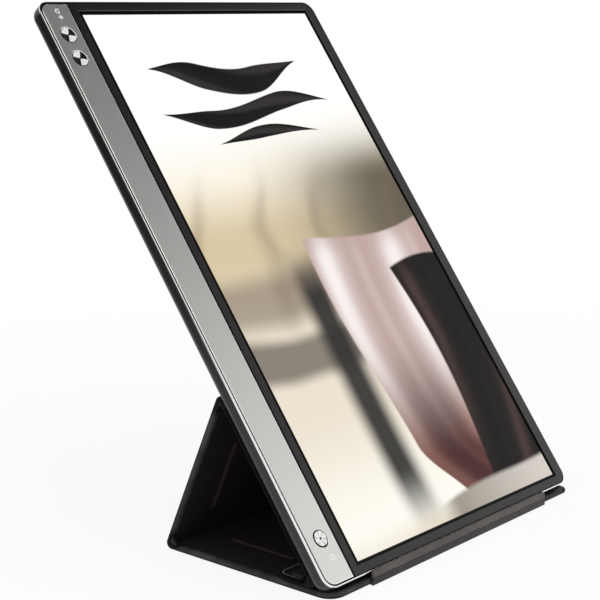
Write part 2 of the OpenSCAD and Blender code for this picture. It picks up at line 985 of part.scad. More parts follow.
// Tunnel for the stiff core of the flap
module stop_core_room() {
    translate([rim_w - stop_len / 2, stop_back_y - stop_back_t - stop_core_t,
               stop_base_z + skin_lift])
        cube([stop_len - 2 * rim_w, stop_core_t, stop_core_h]);
}

module stop_skin() {
    color("#4a4543")
        difference() {
            intersection() {
                translate([-stop_len / 2, 0, 0])
                    rotate([90, 0, 90])
                        linear_extrude(stop_len)
                            polygon([
                                [stop_front_y, stop_base_z],
                                [stop_back_y, stop_base_z],
                                [stop_back_y, stop_top_z - stop_bevel],
                                [stop_back_y - stop_bevel / 2, stop_top_z],
                                [stop_front_y + stop_slope, stop_top_z - stop_bevel / 2],
                                [stop_front_y, stop_base_z + stop_bevel / 2]
                            ]);
                translate([0, stop_back_y + cut, stop_base_z])
                    rotate([90, 0, 0])
                        linear_extrude(stop_t + 2 * cut)
                            stop_front(stop_len, stop_top_z - stop_base_z);
            }
            stop_core_room();
        }
}

module stop_core() {
    color("#6b6355") stop_core_room();
}

module stop_fold() {
    color("#3a3735")
        block([stop_fold_inset - stop_len / 2, stop_front_y, skin_lift],
              [stop_len / 2 - stop_fold_inset, base_front_y, stop_base_z]);
}

rear_housing();
mid_frame();
edge_trim();
front_bezel();
control_strip();
lcd_cell();
light_guide();
led_bar();
backlight_tray();
keeper_plate();
main_board();
main_chips();
power_board();
board_flex();
driver_board();
panel_flex();
usb_shell();
usb_tongue();
press_switches();
board_screws();
menu_button();
select_button();
power_button();
base_skin();
base_board();
base_lining();
base_keeper();
rear_fold();
rear_skin();
rear_board();
rear_lining();
top_fold();
support_skin();
support_board();
support_lining();
support_magnets();
foot_fold();
foot_skin();
foot_board();
foot_pad();
foot_magnets();
stop_fold();
stop_skin();
stop_core();
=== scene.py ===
"""Looks of the portable monitor on its folding cover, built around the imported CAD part.

Metres throughout, in the part's own frame: +Z up, the screen faces -Y. MM turns the
sizes that are written in millimetres into metres.
"""
import json
import math
from functools import partialmethod

import bmesh
import bpy
from mathutils import Matrix, Vector


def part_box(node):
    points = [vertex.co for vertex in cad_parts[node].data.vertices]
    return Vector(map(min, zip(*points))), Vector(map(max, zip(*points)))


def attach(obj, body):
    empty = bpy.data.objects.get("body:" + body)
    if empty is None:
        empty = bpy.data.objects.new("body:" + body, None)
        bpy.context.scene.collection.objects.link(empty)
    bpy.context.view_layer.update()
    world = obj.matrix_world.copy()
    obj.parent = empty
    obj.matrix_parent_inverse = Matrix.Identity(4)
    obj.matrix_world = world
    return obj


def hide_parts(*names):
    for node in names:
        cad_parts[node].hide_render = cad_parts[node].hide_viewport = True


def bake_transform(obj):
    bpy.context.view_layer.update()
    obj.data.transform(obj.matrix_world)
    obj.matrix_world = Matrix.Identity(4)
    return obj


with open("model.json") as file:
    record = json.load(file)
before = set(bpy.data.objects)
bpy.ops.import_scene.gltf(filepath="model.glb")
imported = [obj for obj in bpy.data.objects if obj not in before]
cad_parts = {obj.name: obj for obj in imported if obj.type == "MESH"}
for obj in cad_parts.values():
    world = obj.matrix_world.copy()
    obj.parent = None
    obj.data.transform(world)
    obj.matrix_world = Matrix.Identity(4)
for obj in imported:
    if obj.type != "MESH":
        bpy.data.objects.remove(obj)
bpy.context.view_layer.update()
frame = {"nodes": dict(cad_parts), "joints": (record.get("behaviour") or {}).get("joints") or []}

MM = 0.001
# Vertices of a node that are this close to a line or a level count as standing on it
NEAR = 0.01 * MM
NODES = frame["nodes"]
JOINTS = {joint["name"]: joint for joint in frame["joints"]}


# ---------- measures taken from the frame ----------

def local_points(node, place):
    """A node's vertices in the frame of the matrix place."""
    back = place.inverted()
    return [back @ vertex.co for vertex in NODES[node].data.vertices]


def local_box(node, place):
    """A node's lowest and highest corner in the frame of the matrix place."""
    points = local_points(node, place)
    return Vector(map(min, zip(*points))), Vector(map(max, zip(*points)))


def joint_at(name):
    return Vector(JOINTS[name]["pos_m"])


def angle_between(start, end):
    """Direction from start to end in the Y-Z plane, in radians."""
    return math.atan2(end.z - start.z, end.y - start.y)


# The monitor's own frame: X across, Y up the slope, Z out of the screen
press_axis = Vector(JOINTS["menu_press"]["axis"])
FLAT = Matrix.Rotation(math.atan2(press_axis.y, -press_axis.z), 4, "X")


def flat_box(node):
    return local_box(node, FLAT)


def corner_radius(node, sides):
    """Radius of a node's rounded corner, seen from the front: how far up its straight
    side starts. sides is -1 or 1, for the left or the right side."""
    low, high = flat_box(node)
    edge = low.x if sides < 0 else high.x
    on_side = [point.y for point in local_points(node, FLAT) if abs(point.x - edge) < NEAR]
    return min(on_side) - low.y


def trim_width():
    """Width of the bright edge trim: how far in its left side's vertices stand."""
    low, high = flat_box("edge_trim")
    r = corner_radius("edge_trim", -1)
    side = [point.x for point in local_points("edge_trim", FLAT)
            if point.x < 0 and low.y + r - NEAR < point.y < high.y - r + NEAR]
    return max(side) - low.x


def cap_of(node):
    """Centre, radius and top height of a button's cap, in the monitor's frame."""
    low, high = flat_box(node)
    centre = (low + high) / 2
    rim = [point for point in local_points(node, FLAT) if point.z > high.z - NEAR]
    radius = max(math.hypot(point.x - centre.x, point.y - centre.y) for point in rim)
    return centre, radius, high.z


# ---------- node trees ----------

class Look:
    """A material, with short calls that build its node tree. gloss is its specular level,
    and the other settings are named after the shader's own sockets."""

    def __init__(self, name, gloss=0.5, **settings):
        self.material = bpy.data.materials.new(name)
        self.material.use_nodes = True
        self.tree = self.material.node_tree
        self.shader = self.tree.nodes["Principled BSDF"]
        self.put("Base Color", (0.5, 0.5, 0.5))
        self.put("Specular IOR Level", gloss)
        for key, value in settings.items():
            self.put(key.replace("_", " "), value)

    def put(self, key, value):
        """Sets one of the shader's own sockets, or joins a field to it."""
        join(self.tree, value, self.shader.inputs[key])

    def spot(self, turn=None):
        """Object coordinates as three fields, in the part's frame or that of turn."""
        return spot_in(self.tree, "Object", turn)

    def noise(self, spacing, detail=3.0, stretch=(1, 1, 1), rough=0.5):
        """Smooth noise from 0 to 1 whose features are about spacing metres apart."""
        node = self.scaled("ShaderNodeTexNoise", spacing, stretch)
        node.inputs["Detail"].default_value = detail
        node.inputs["Roughness"].default_value = rough
        return Field(self.tree, node.outputs[0])

    def cells(self, spacing, feature="F1"):
        """Distance to the nearest cell's centre or edge, for pebbled grain."""
        node = self.scaled("ShaderNodeTexVoronoi", spacing, (1, 1, 1))
        node.feature = feature
        return Field(self.tree, node.outputs["Distance"])

    def scaled(self, kind, spacing, stretch):
        """A texture node whose features are about spacing metres apart."""
        where = self.tree.nodes.new("ShaderNodeTexCoord")
        scale = self.tree.nodes.new("ShaderNodeMapping")
        scale.inputs["Scale"].default_value = [share / spacing for share in stretch]
        node = self.tree.nodes.new(kind)
        node.inputs["Scale"].default_value = 1
        self.tree.links.new(where.outputs["Object"], scale.inputs["Vector"])
        self.tree.links.new(scale.outputs["Vector"], node.inputs["Vector"])
        return node

    def bump(self, height, depth):
        """Bumps the surface by a field of heights from 0 to 1, depth metres deep."""
        node = self.tree.nodes.new("ShaderNodeBump")
        node.inputs["Distance"].default_value = depth
        join(self.tree, height, node.inputs["Height"])
        before = self.shader.inputs["Normal"].links
        if before:
            self.tree.links.new(before[0].from_socket, node.inputs["Normal"])
        self.tree.links.new(node.outputs["Normal"], self.shader.inputs["Normal"])


class Field:
    """A number that varies over a surface, with arithmetic."""

    def __init__(self, tree, socket):
        self.tree = tree
        self.socket = socket

    def math(self, kind, *others):
        """The result of a Math node on this field and the others."""
        node = self.tree.nodes.new("ShaderNodeMath")
        node.operation = kind
        for socket, value in zip(node.inputs, (self, *others)):
            join(self.tree, value, socket)
        return Field(self.tree, node.outputs[0])

    __add__ = partialmethod(math, "ADD")
    __sub__ = partialmethod(math, "SUBTRACT")
    __mul__ = partialmethod(math, "MULTIPLY")
    __truediv__ = partialmethod(math, "DIVIDE")
    sine = partialmethod(math, "SINE")
    size = partialmethod(math, "ABSOLUTE")
    power = partialmethod(math, "POWER")
    least = partialmethod(math, "MINIMUM")
    most = partialmethod(math, "MAXIMUM")

    def rise(self, low, high, bottom=0.0, top=1.0):
        """Goes smoothly from bottom to top as the field goes from low to high."""
        node = self.tree.nodes.new("ShaderNodeMapRange")
        node.interpolation_type = "SMOOTHSTEP"
        join(self.tree, self, node.inputs["Value"])
        for key, value in zip(("From Min", "From Max", "To Min", "To Max"),
                              (low, high, bottom, top)):
            node.inputs[key].default_value = value
        return Field(self.tree, node.outputs["Result"])

    def fall(self, low, high):
        """Goes smoothly from 1 to 0 as the field goes from low to high."""
        return self.rise(low, high, 1.0, 0.0)

    def mix(self, low, high):
        """The colour low where the field is 0, and high where it is 1."""
        node = self.tree.nodes.new("ShaderNodeMix")
        node.data_type = "RGBA"
        join(self.tree, self, node.inputs["Factor"])
        join(self.tree, low, node.inputs[6])
        join(self.tree, high, node.inputs[7])
        return Field(self.tree, node.outputs[2])


def join(tree, value, socket):
    """Links a field to a socket, or sets it to a number or a colour, which may be a code."""
    if isinstance(value, Field):
        tree.links.new(value.socket, socket)
        return
    if isinstance(value, str):
        value = shade(value)
    socket.default_value = (*value, 1) if socket.type == "RGBA" else value


def spot_in(tree, kind, turn=None):
    """Coordinates of this kind as three fields, turned into another frame if one is given."""
    where = tree.nodes.new("ShaderNodeTexCoord")
    vector = where.outputs[kind]
    if turn is not None:
        mapping = tree.nodes.new("ShaderNodeMapping")
        mapping.inputs["Rotation"].default_value = turn.inverted().to_euler()
        tree.links.new(vector, mapping.inputs["Vector"])
        vector = mapping.outputs["Vector"]
    split = tree.nodes.new("ShaderNodeSeparateXYZ")
    tree.links.new(vector, split.inputs[0])
    return [Field(tree, output) for output in split.outputs]


def shade(code):
    """A colour such as "#c8b7a6", as the linear values that shaders take."""
    values = [int(code[at:at + 2], 16) / 255 for at in (1, 3, 5)]
    return tuple(v / 12.92 if v <= 0.04045 else ((v + 0.055) / 1.055) ** 2.4 for v in values)


# ---------- materials ----------

# Embossed lines of the linings: height, distance from the middle, half width, and where
# they start and end along the base and rear panels
RIDGE = 0.3 * MM
RIDGE_X = 79.3 * MM
RIDGE_HALF = 1.2 * MM
BASE_RIDGE = (-61.7 * MM, -18.8 * MM)
REAR_RIDGE = (14.5 * MM, 57.4 * MM)
# Radii of the base's front corners, left and right, and of the foot flap's
BASE_CORNERS = (9 * MM, 4.5 * MM)
FOOT_CORNERS = (6 * MM, 6 * MM)


def satin_plastic(name, code, rough, gloss=0.5):
    """Moulded plastic with a fine spark-eroded texture and faint handling marks."""
    look = Look(name, gloss)
    colour = shade(code)
    smudge = look.noise(38 * MM, 4)
    look.put("Base Color", smudge.mix(colour, [part * 1.22 for part in colour]))
    look.put("Roughness", look.noise(16 * MM, 5).rise(0.25, 0.8, rough - 0.02, rough + 0.04))
    look.bump(look.noise(0.35 * MM, 2), 0.012 * MM)
    return look


def brushed_metal(name, code, rough, stretch, depth=0.004 * MM):
    """Metal with fine lines along one direction and slight changes of gloss."""
    look = Look(name, Metallic=1.0)
    colour = shade(code)
    lines = look.noise(0.22 * MM, 2, stretch)
    look.put("Base Color", look.noise(30 * MM, 2).mix(colour, [part * 0.97 for part in colour]))
    look.put("Roughness", lines.rise(0.2, 0.8, rough - 0.02, rough + 0.03))
    look.bump(lines, depth)
    return look


def cap_with_painted_beams(name, dark, highlight_beams, phase, sharp, centre=0.36 * MM):
    """Metal turned on a lathe about its own Z axis, with painted reflections: white and darker
    rays from a near-black centre of this radius, crossed by fine rings and thin painted streaks."""
    look = Look(name, Metallic=0.15, Roughness=0.3)
    x, y, _ = look.spot()
    turn = y.math("ARCTAN2", x)
    reach = (x * x + y * y).power(0.5)
    rings = (reach * (math.tau / (0.3 * MM))).sine() * 0.5 + 0.5
    # Painted highlight: white rays and rays of the dark colour, standing in for the turned rings'
    # reflections
    painted_beam = ((turn * highlight_beams + phase).sine() + 0.12).rise(-sharp, sharp)
    painted_streak = (turn * (highlight_beams * 5) + phase).sine().rise(0.7, 1.0, 1.0, 0.72)
    colour = (painted_beam * painted_streak * (rings * 0.08 + 0.92)).mix(dark, "#ffffff")
    hole = reach.rise(centre, centre + 0.2 * MM)
    look.put("Base Color", hole.mix("#0a0a0a", colour))
    look.bump(rings, 0.004 * MM)
    return look


def leather(name, colour, worn, grain=0.75 * MM, depth=0.05 * MM, rim_highlight=None, gloss=0.5):
    """Smooth synthetic leather: pebbles, pores, creases and slightly rubbed high spots.
    rim_highlight is (function from the look to a field that is 1 along a band of painted
    highlight, size of its patches, how much of it shows between them, tone of the highlight)."""
    look = Look(name, gloss)
    pebbles = look.cells(grain, feature="DISTANCE_TO_EDGE").rise(0.0, 0.32)
    pores = look.noise(grain * 0.35, 3)
    creases = look.noise(9 * MM, 4, (1, 2.2, 2.2))
    rubbed = look.noise(22 * MM, 5).rise(0.35, 0.75) * pebbles
    tone = rubbed.mix(colour, worn)
    if rim_highlight:
        where, patch, least, highlight_tone = rim_highlight
        band = where(look) * look.noise(patch, 3).rise(0.3, 0.65, least, 1.0)
        # Painted highlight along the band
        tone = (band * (pebbles * 0.35 + 0.65)).mix(tone, highlight_tone)
    look.put("Base Color", tone)
    look.put("Roughness", pores.rise(0.2, 0.8, 0.44, 0.6))
    look.bump(creases, 0.12 * MM)
    look.bump(pebbles * 0.8 + pores * 0.2, depth)
    return look


def microfibre(name, code, ridge=None):
    """Short matt pile with faint stroke marks, and a painted highlight along the embossed lines.
    ridge is (start, end) of those lines, along the panel."""
    look = Look(name, 0.1, Roughness=0.85, Sheen_Weight=0.04, Sheen_Roughness=0.45)
    colour = shade(code)
    strokes = look.noise(14 * MM, 4, (1, 0.45, 0.45))
    tone = strokes.mix(colour, [part * 1.5 for part in colour])
    if ridge:
        x, y, _ = look.spot()
        start, end = ridge
        line = (x.size() - RIDGE_X).size().fall(RIDGE_HALF * 0.4, RIDGE_HALF * 1.7)
        line = line * y.rise(start, start + 2 * MM) * y.fall(end - 2 * MM, end)
        # Painted highlight along the embossed lines
        tone = line.mix(tone, [part * 8 for part in colour])
    look.put("Base Color", tone)
    look.bump(look.noise(0.3 * MM, 3, rough=0.7), 0.03 * MM)
    look.bump(strokes, 0.1 * MM)
    return look


def circuit_board(name):
    """Solder mask with copper runs showing through it and small round pads."""
    look = Look(name, Roughness=0.35)
    x, _, _ = look.spot(FLAT)
    runs = (x * (math.tau / (1.1 * MM)) + look.noise(9 * MM, 1) * 7).sine().rise(0.55, 0.75)
    pads = look.cells(2.4 * MM).fall(0.16, 0.22)
    mask = runs.mix("#12452c", "#1f6540")
    look.put("Base Color", pads.mix(mask, "#c9a24c"))
    look.put("Metallic", pads)
    look.bump(runs, 0.03 * MM)
    return look


# ---------- what the screen shows ----------

# How far the bezel's window stands inside the display stack's edge, and the width of the
# glass's own black border inside the window
WINDOW_LAP = 1.6 * MM
GLASS_BORDER = MM


def ribbon(under, x, y, middle, half, ends, folds, dark, light):
    """Lays a ribbon of silk over the picture under it. middle and half are its line and
    half width as fields; ends fades it out; folds is (how many, lean, phase)."""
    across = (y - middle) / half
    count, lean, phase = folds
    wave = (across * count + x * lean + phase).sine() * 0.5 + 0.5
    fine = (across * (count * 2.7) + x * (lean * 1.9) + phase * 2).sine() * 0.12
    gloss = (wave.power(1.6) + fine).rise(0.0, 1.0)
    rounded = (across * across).rise(0.35, 1.05, 1.0, 0.45)
    cover = across.size().fall(0.9, 1.0) * ends
    return cover.mix(under, (gloss * rounded).mix(dark, light))


def drape(under, x, y, left, top, pleats, sway, dark, light, glow):
    """Hangs a satin cloth over the picture under it, to the right of the line left and
    below the line top, with this many pleats and their sway."""
    across = x - left
    turned = across * pleats + sway
    wave = turned.sine() * 0.5 + 0.5
    crease = (turned * 2.3 + y * 3.0 + 1.1).sine() * 0.5 + 0.5
    gloss = wave.power(1.8) * 0.78 + crease.power(3.0) * 0.22
    hem = (top - y).rise(0.0, 0.09, 0.35, 1.0) * across.rise(0.0, 0.05, 0.45, 1.0)
    lit = (gloss * hem).mix(dark, light)
    lit = ((wave.power(9.0) * hem) * 0.75).mix(lit, glow)
    cover = across.rise(0.0, 0.012) * (top - y).rise(0.0, 0.012)
    return cover.mix(under, lit)


def screen_glass():
    """The lit screen: satin hangings and loose ribbons on cream, inside the black border.
    x and y go from 0 at its lower left in widths of the lit area, which is tall high."""
    look = Look("screen_glass", Roughness=0.45, gloss=0.12)
    x, y, _ = look.spot(FLAT)
    low, high = flat_box("lcd_cell")
    hidden = WINDOW_LAP + GLASS_BORDER
    lit_w = high.x - low.x - 2 * hidden
    lit_h = high.y - low.y - 2 * hidden
    x = (x - (low.x + hidden)) / lit_w
    y = (y - (low.y + hidden)) / lit_w
    tall = lit_h / lit_w

    blur = look.noise(0.16, 1.5)
    haze = look.noise(0.07, 1)
    swirl = look.noise(0.11, 2)
    # A cream wall, warmer in the middle and deeper towards the right
    wall = y.rise(0.05, 0.45).mix("#fdfbf1", "#ebe1cf")
    wall = y.rise(0.62, 0.95).mix(wall, "#d9c7a4")
    wall = y.rise(0.98, 1.22).mix(wall, "#fbf3e0")
    side = (x + blur * 0.3).rise(0.40, 1.10) * y.rise(0.55, 0.80) * y.fall(1.12, 1.40)
    wall = side.mix(wall, "#655e4e")
    # Broad bands and a standing fold behind, out of focus
    bands = ((0.61, 4.0, 0.3, 0.022, 0.035, 0.09, 0.80, "#5b534a"),
             (0.81, 3.1, 1.4, 0.030, 0.030, 0.12, 0.62, "#75665a"))
    for line, waves, phase, swing, core, fade, share, tone in bands:
        from_line = (x * waves + phase).sine() * swing + y + haze * 0.08 - (line + 0.04)
        wall = (from_line.size().fall(core, fade) * share).mix(wall, tone)
    stand = (y * 3.0 + 0.5).sine() * 0.02 + x - 0.37
    stand = stand.size().fall(0.02, 0.10) * y.rise(-0.05, 0.20) * y.fall(0.76, 0.96)
    wall = (stand * 0.98).mix(wall, "#2c2b29")
    thread = ((y * 9.0 - x * 21.0 + swirl * 12.0).sine() * 0.5 + 0.5).power(6.0)
    wall = (thread * y.rise(0.6, 0.8) * y.fall(1.0, 1.3) * 0.35).mix(wall, "#7d6c5a")
    ledge = y.fall(0.0, 0.07) * x.rise(0.1, 0.5, 0.4, 1.0)
    wall = (ledge * 0.6).mix(wall, "#d8c6aa")
    picture = (y - x * 0.08 + haze * 0.06).rise(1.12, 1.42).mix(wall, (1, 1, 1))

    # Three charcoal ribbons near the top
    for line, swing, half, start, stop, phase in ((1.545, 0.034, 0.050, 0.13, 0.84, 0.3),
                                                  (1.410, 0.026, 0.034, 0.10, 0.90, 1.7),
                                                  (1.312, 0.018, 0.022, 0.27, 0.78, 3.1)):
        ends = x.rise(start, start + 0.22) * x.fall(stop - 0.26, stop)
        picture = ribbon(picture, x, y, (x * 8.5 + phase).sine() * swing + line + x * 0.02,
                         ends * half + 0.0005, ends.rise(0.0, 0.05), (2.4, 9.0, phase),
                         "#020202", "#2e2b29")
    # A satin hanging, pale rose above and burgundy below, and a darker one before it
    left = (y * 5.2 + 0.7).sine() * 0.025 + y.rise(0.0, 0.24, 0.14, 0.0) + 0.43
    top = (x * 5.2 + 0.4).sine() * 0.04 + x * 0.10 + 0.90
    sway = (y * 4.1 + 0.6).sine() * 0.7 + swirl * 2.0
    down = y.rise(0.16, 0.62)
    picture = drape(picture, x, y, left, top, 19.0, sway,
                    down.mix("#472526", "#bfa5a0"), down.mix("#85594f", "#eee2df"),
                    down.mix("#a87b70", "#fbf6f3"))
    left = (y * 4.3 - 0.6).sine() * 0.04 + 0.73
    top = (x * 6.1 + 2.2).sine() * 0.05 + 0.79
    sway = (y * 3.2 + 2.0).sine() * 1.1 + swirl * 2.2
    picture = drape(picture, x, y, left, top, 27.0, sway, "#080505", "#241917", "#4a3835")
    # The cloths end above the screen's lower edge
    foot = (y + (x * 6.7 + 1.0).sine() * 0.015 - x * 0.10 + 0.072).fall(0.055, 0.075)
    here = foot * x.rise(0.40, 0.52)
    ground = (x * 0.8 + blur * 0.2).rise(0.3, 1.0).mix("#7d766b", "#d8d2c9")
    picture = here.mix(picture, ground)
    edge = 0.002
    inside = (x - 0.5).size().fall(0.5 - edge, 0.5)
    inside = inside * (y - tall / 2).size().fall(tall / 2 - edge, tall / 2)
    look.put("Base Color", (0.004, 0.004, 0.004))
    look.put("Emission Color", inside.mix((0, 0, 0), picture))
    look.put("Emission Strength", 1.0)
    return look


# ---------- meshes ----------

def make_piece(name, points, faces, look, slot, place=Matrix.Identity(4), sharp=32):
    """A mesh object with welded points, outward faces and smooth shading under an angle."""
    mesh = bpy.data.meshes.new(name)
    mesh.from_pydata([tuple(point) for point in points], [], faces)
    built = bmesh.new()
    built.from_mesh(mesh)
    bmesh.ops.remove_doubles(built, verts=built.verts, dist=0.001 * MM)
    bmesh.ops.dissolve_degenerate(built, dist=0.001 * MM, edges=built.edges)
    bmesh.ops.recalc_face_normals(built, faces=built.faces)
    built.to_mesh(mesh)
    built.free()
    mesh.polygons.foreach_set("use_smooth", [True] * len(mesh.polygons))
    mesh.set_sharp_from_angle(angle=math.radians(sharp))
    mesh.materials.append(look.material)
    piece = bpy.data.objects.new(name, mesh)
    bpy.context.scene.collection.objects.link(piece)
    piece.matrix_world = place
    return piece


def lofted(rings, closed=True):
    """Points and faces of a skin over rings of equal count, with a cap on each end."""
    count = len(rings[0])
    points = [point for ring in rings for point in ring]
    faces = []
    for step in range(len(rings) - 1):
        for at in range(count if closed else count - 1):
            a = step * count + at
            b = step * count + (at + 1) % count
            faces.append((a, b, b + count, a + count))
    faces.append(tuple(range(count)))
    faces.append(tuple(range(len(points) - count, len(points))))
    return points, faces


def levelled(outlines, levels):
    """Points and faces of a plate with holes. Each outline is a function from an inset to
    its points in the plane; levels are (height, inset) from the bottom to the top."""
    built = bmesh.new()
    for height, inset in (levels[0], levels[-1]):
        edges = []
        for outline in outlines:
            ring = [built.verts.new((x, y, height)) for x, y in outline(inset)]
            edges += [built.edges.new((ring[at - 1], ring[at])) for at in range(len(ring))]
        bmesh.ops.triangle_fill(built, use_beauty=True, use_dissolve=False, edges=edges)
    built.verts.index_update()
    points = [vertex.co.copy() for vertex in built.verts]
    faces = [tuple(vertex.index for vertex in face.verts) for face in built.faces]
    built.free()
    for outline in outlines:
        rings = [[(x, y, height) for x, y in outline(inset)] for height, inset in levels]
        more, sides = lofted(rings)
        faces += [tuple(at + len(points) for at in face) for face in sides[:-2]]
        points += more
    return points, faces


def on_circle(centre, radius, angles):
    """Points of a circle at these angles, in degrees."""
    return [(centre[0] + radius * math.cos(math.radians(angle)),
             centre[1] + radius * math.sin(math.radians(angle))) for angle in angles]


def arc(centre, radius, start, end, steps):
    """Points on an arc, angles in degrees, both ends included."""
    turns = [start + (end - start) * step / steps for step in range(steps + 1)]
    return on_circle(centre, radius, turns)


def round_off(radius, inset):
    """How far an edge of this radius stands back, this far in from its side."""
    return radius - math.sqrt(max(radius ** 2 - max(radius - inset, 0) ** 2, 0))


# Steps over a rounded edge, in radians
QUARTER = [math.radians(turn) for turn in (15, 30, 45, 60, 75, 90)]


def rounded_box(low, high, radii, steps=10):
    """Outline function of a rectangle whose corners, from the lower left and going round
    counter-clockwise, have these radii. Its inset moves every side inwards."""
    def outline(inset):
        x0, y0, x1, y1 = low[0] + inset, low[1] + inset, high[0] - inset, high[1] - inset
        found = []
        for radius, x, y, start in zip(radii, (x0, x1, x1, x0), (y0, y0, y1, y1),
                                       (180, 270, 0, 90)):
            r = max(radius - inset, 0.02 * MM)
            centre = (x + (r if x == x0 else -r), y + (r if y == y0 else -r))
            found += arc(centre, r, start, start + 90, steps)
        return found
    return outline


def disc(centre, radius, growth=1.0, steps=48):
    """Outline function of a hole. A plate's inset makes it wider, by growth."""
    def outline(inset):
        return arc(centre, radius + inset * growth, 0, 360 * (1 - 1 / steps), steps - 1)
    return outline


def fixed(points):
    """Outline function of a shape that a plate's inset leaves as it is."""
    return lambda inset: points


# ---------- the monitor's visible pieces ----------

# What the control strip gives up to the dark seal round it, and further along its outer
# sides, and what the bezel gives up beside the strip. The seal's black is also painted shade
# for the joints.
SEAL = 0.12 * MM
SEAM_SPARE = 0.28 * MM
STRIP_GAP = 0.34 * MM
# The control strip's polished edge, as (drop, inset)
STRIP_EDGE = ((0.34 * MM, 0), (0.16 * MM, 0.04 * MM), (0, 0.46 * MM))
# Gaps round the upper buttons and round the power button
BUTTON_GAPS = (("menu_button", 0.3 * MM), ("select_button", 0.3 * MM),
               ("power_button", 0.6 * MM))
WINDOW_CHAMFER = 0.3 * MM
# How much wider the window's chamfer is along its upper side
WINDOW_TOP = 2.2
# Width of the black gasket round the window, whose wider sides are also painted shade for
# the recess: left, bottom, right and top
GASKET = (0.9 * MM, 0.2 * MM, 0.2 * MM, 0.7 * MM)


def plate_levels(low, high, edge):
    """Heights and insets of a plate whose face edge follows edge, as (drop, inset)."""
    return [(low.z, edge[0][1])] + [(high.z - drop, inset) for drop, inset in edge]


def plate(name, outlines, levels, look, slot, sharp=32):
    """A plate of the monitor's front, in its frame, which rides on it."""
    piece = make_piece(name, *levelled(outlines, levels), look, slot, FLAT, sharp)
    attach(piece, "monitor")
    return piece


def second_look(piece, look, test):
    """Gives the faces whose middle and normal pass the test another material."""
    piece.data.materials.append(look.material)
    last = len(piece.data.materials) - 1
    for face in piece.data.polygons:
        if test(face.center, face.normal):
            face.material_index = last


def strip_outline():
    """Outline function of the control strip, less the dark seam round it."""
    low, high = flat_box("control_strip")
    r = corner_radius("control_strip", -1)
    return rounded_box((low.x + SEAM_SPARE, low.y + SEAM_SPARE),
                       (high.x, high.y - SEAM_SPARE), (r, 0, 0, r))


def control_strip():
    low, high = flat_box("control_strip")
    # The holes' polished edges are narrower than the plate's own
    share = 0.7
    holes = []
    for node, gap in BUTTON_GAPS:
        centre, radius, _ = cap_of(node)
        holes.append(disc(centre, radius + gap - SEAL * share, share))
    trimmed = [(drop, inset + SEAL) for drop, inset in STRIP_EDGE]
    piece = plate("strip_plate", [strip_outline(), *holes], plate_levels(low, high, trimmed),
                  STRIP_METAL, "strip_metal", sharp=12)
    second_look(piece, EDGE_METAL, lambda middle, normal: 0.6 < normal.z < 0.99
                and normal.x > -0.02)
    # The upright walls of the holes are painted black, as shade in the gaps round the buttons,
    # and those of the plate's outside aren't
    second_look(piece, SEAL_AND_SHADE_BLACK, lambda middle, normal: abs(normal.z) < 0.3
                and low.x + MM < middle.x < high.x - MM
                and low.y + 5 * MM < middle.y < high.y - 5 * MM)
    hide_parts("control_strip")


def window_outline(spare):
    """Outline function of the bezel's window, wider by the sides of spare: left, bottom,
    right and top."""
    low, high = flat_box("lcd_cell")
    x0, y0 = low.x + WINDOW_LAP - spare[0], low.y + WINDOW_LAP - spare[1]
    x1, y1 = high.x - WINDOW_LAP + spare[2], high.y - WINDOW_LAP + spare[3]

    def outline(inset):
        upper = y1 + inset * WINDOW_TOP
        return [(x0 - inset, y0 - inset), (x0 - inset, upper),
                (x1 + inset, upper), (x1 + inset, y0 - inset)]
    return outline


def bezel_outline():
    """Outline function of the bezel, less the seam between it and the control strip."""
    low, high = flat_box("front_bezel")
    r = corner_radius("front_bezel", 1)
    return rounded_box((low.x + STRIP_GAP, low.y), (high.x, high.y), (0, r, r, 0))


def front_bezel():
    low, high = flat_box("front_bezel")
    whole = bezel_outline()

    def outline(inset):
        """The outside, whose chamfer is narrower than the window's."""
        return whole(inset * 0.4)

    edge = ((WINDOW_CHAMFER, 0), (0, WINDOW_CHAMFER))
    piece = plate("bezel_plate", [outline, window_outline(GASKET)],
                  plate_levels(low, high, edge), BEZEL_PLASTIC, "bezel_plastic")
    # Faces turned down and outwards, such as the window's upper chamfer, get a lighter copy of
    # the plastic: a painted highlight
    second_look(piece, BEZEL_EDGE_HIGHLIGHT, lambda middle, normal: normal.y < -0.2 and normal.z > 0.2)
    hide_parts("front_bezel")


def window_gasket():
    """The matt black gasket between the bezel and the screen. Its wider left and top sides are
    also painted shade, for the recess's inner edge.
    """
    low, high = flat_box("front_bezel")
    depth = 0.12 * MM
    plate("window_gasket", [window_outline(GASKET), window_outline((0, 0, 0, 0))],
          [(low.z, 0), (high.z - depth, 0)], SEAL_AND_SHADE_BLACK, "frame_plastic")


def seals():
    """The dark adhesive seal in the joints round and between the front plates, which is also
    painted shade for those joints.
    """
    strip_low, strip_high = flat_box("control_strip")
    low, high = flat_box("edge_trim")
    width = trim_width()
    depth = 0.22 * MM
    r = corner_radius("control_strip", -1) + strip_low.x - low.x - width
    outer = rounded_box((low.x + width, low.y + width), (high.x - width, high.y - width),
                        (r,) * 4)
    levels = [(strip_low.z, 0), (strip_high.z - depth, 0)]
    holes = [fixed(strip_outline()(SEAL)), fixed(bezel_outline()(0.02 * MM))]
    plate("front_seal", [outer, *holes], levels, SEAL_AND_SHADE_BLACK, "frame_plastic")


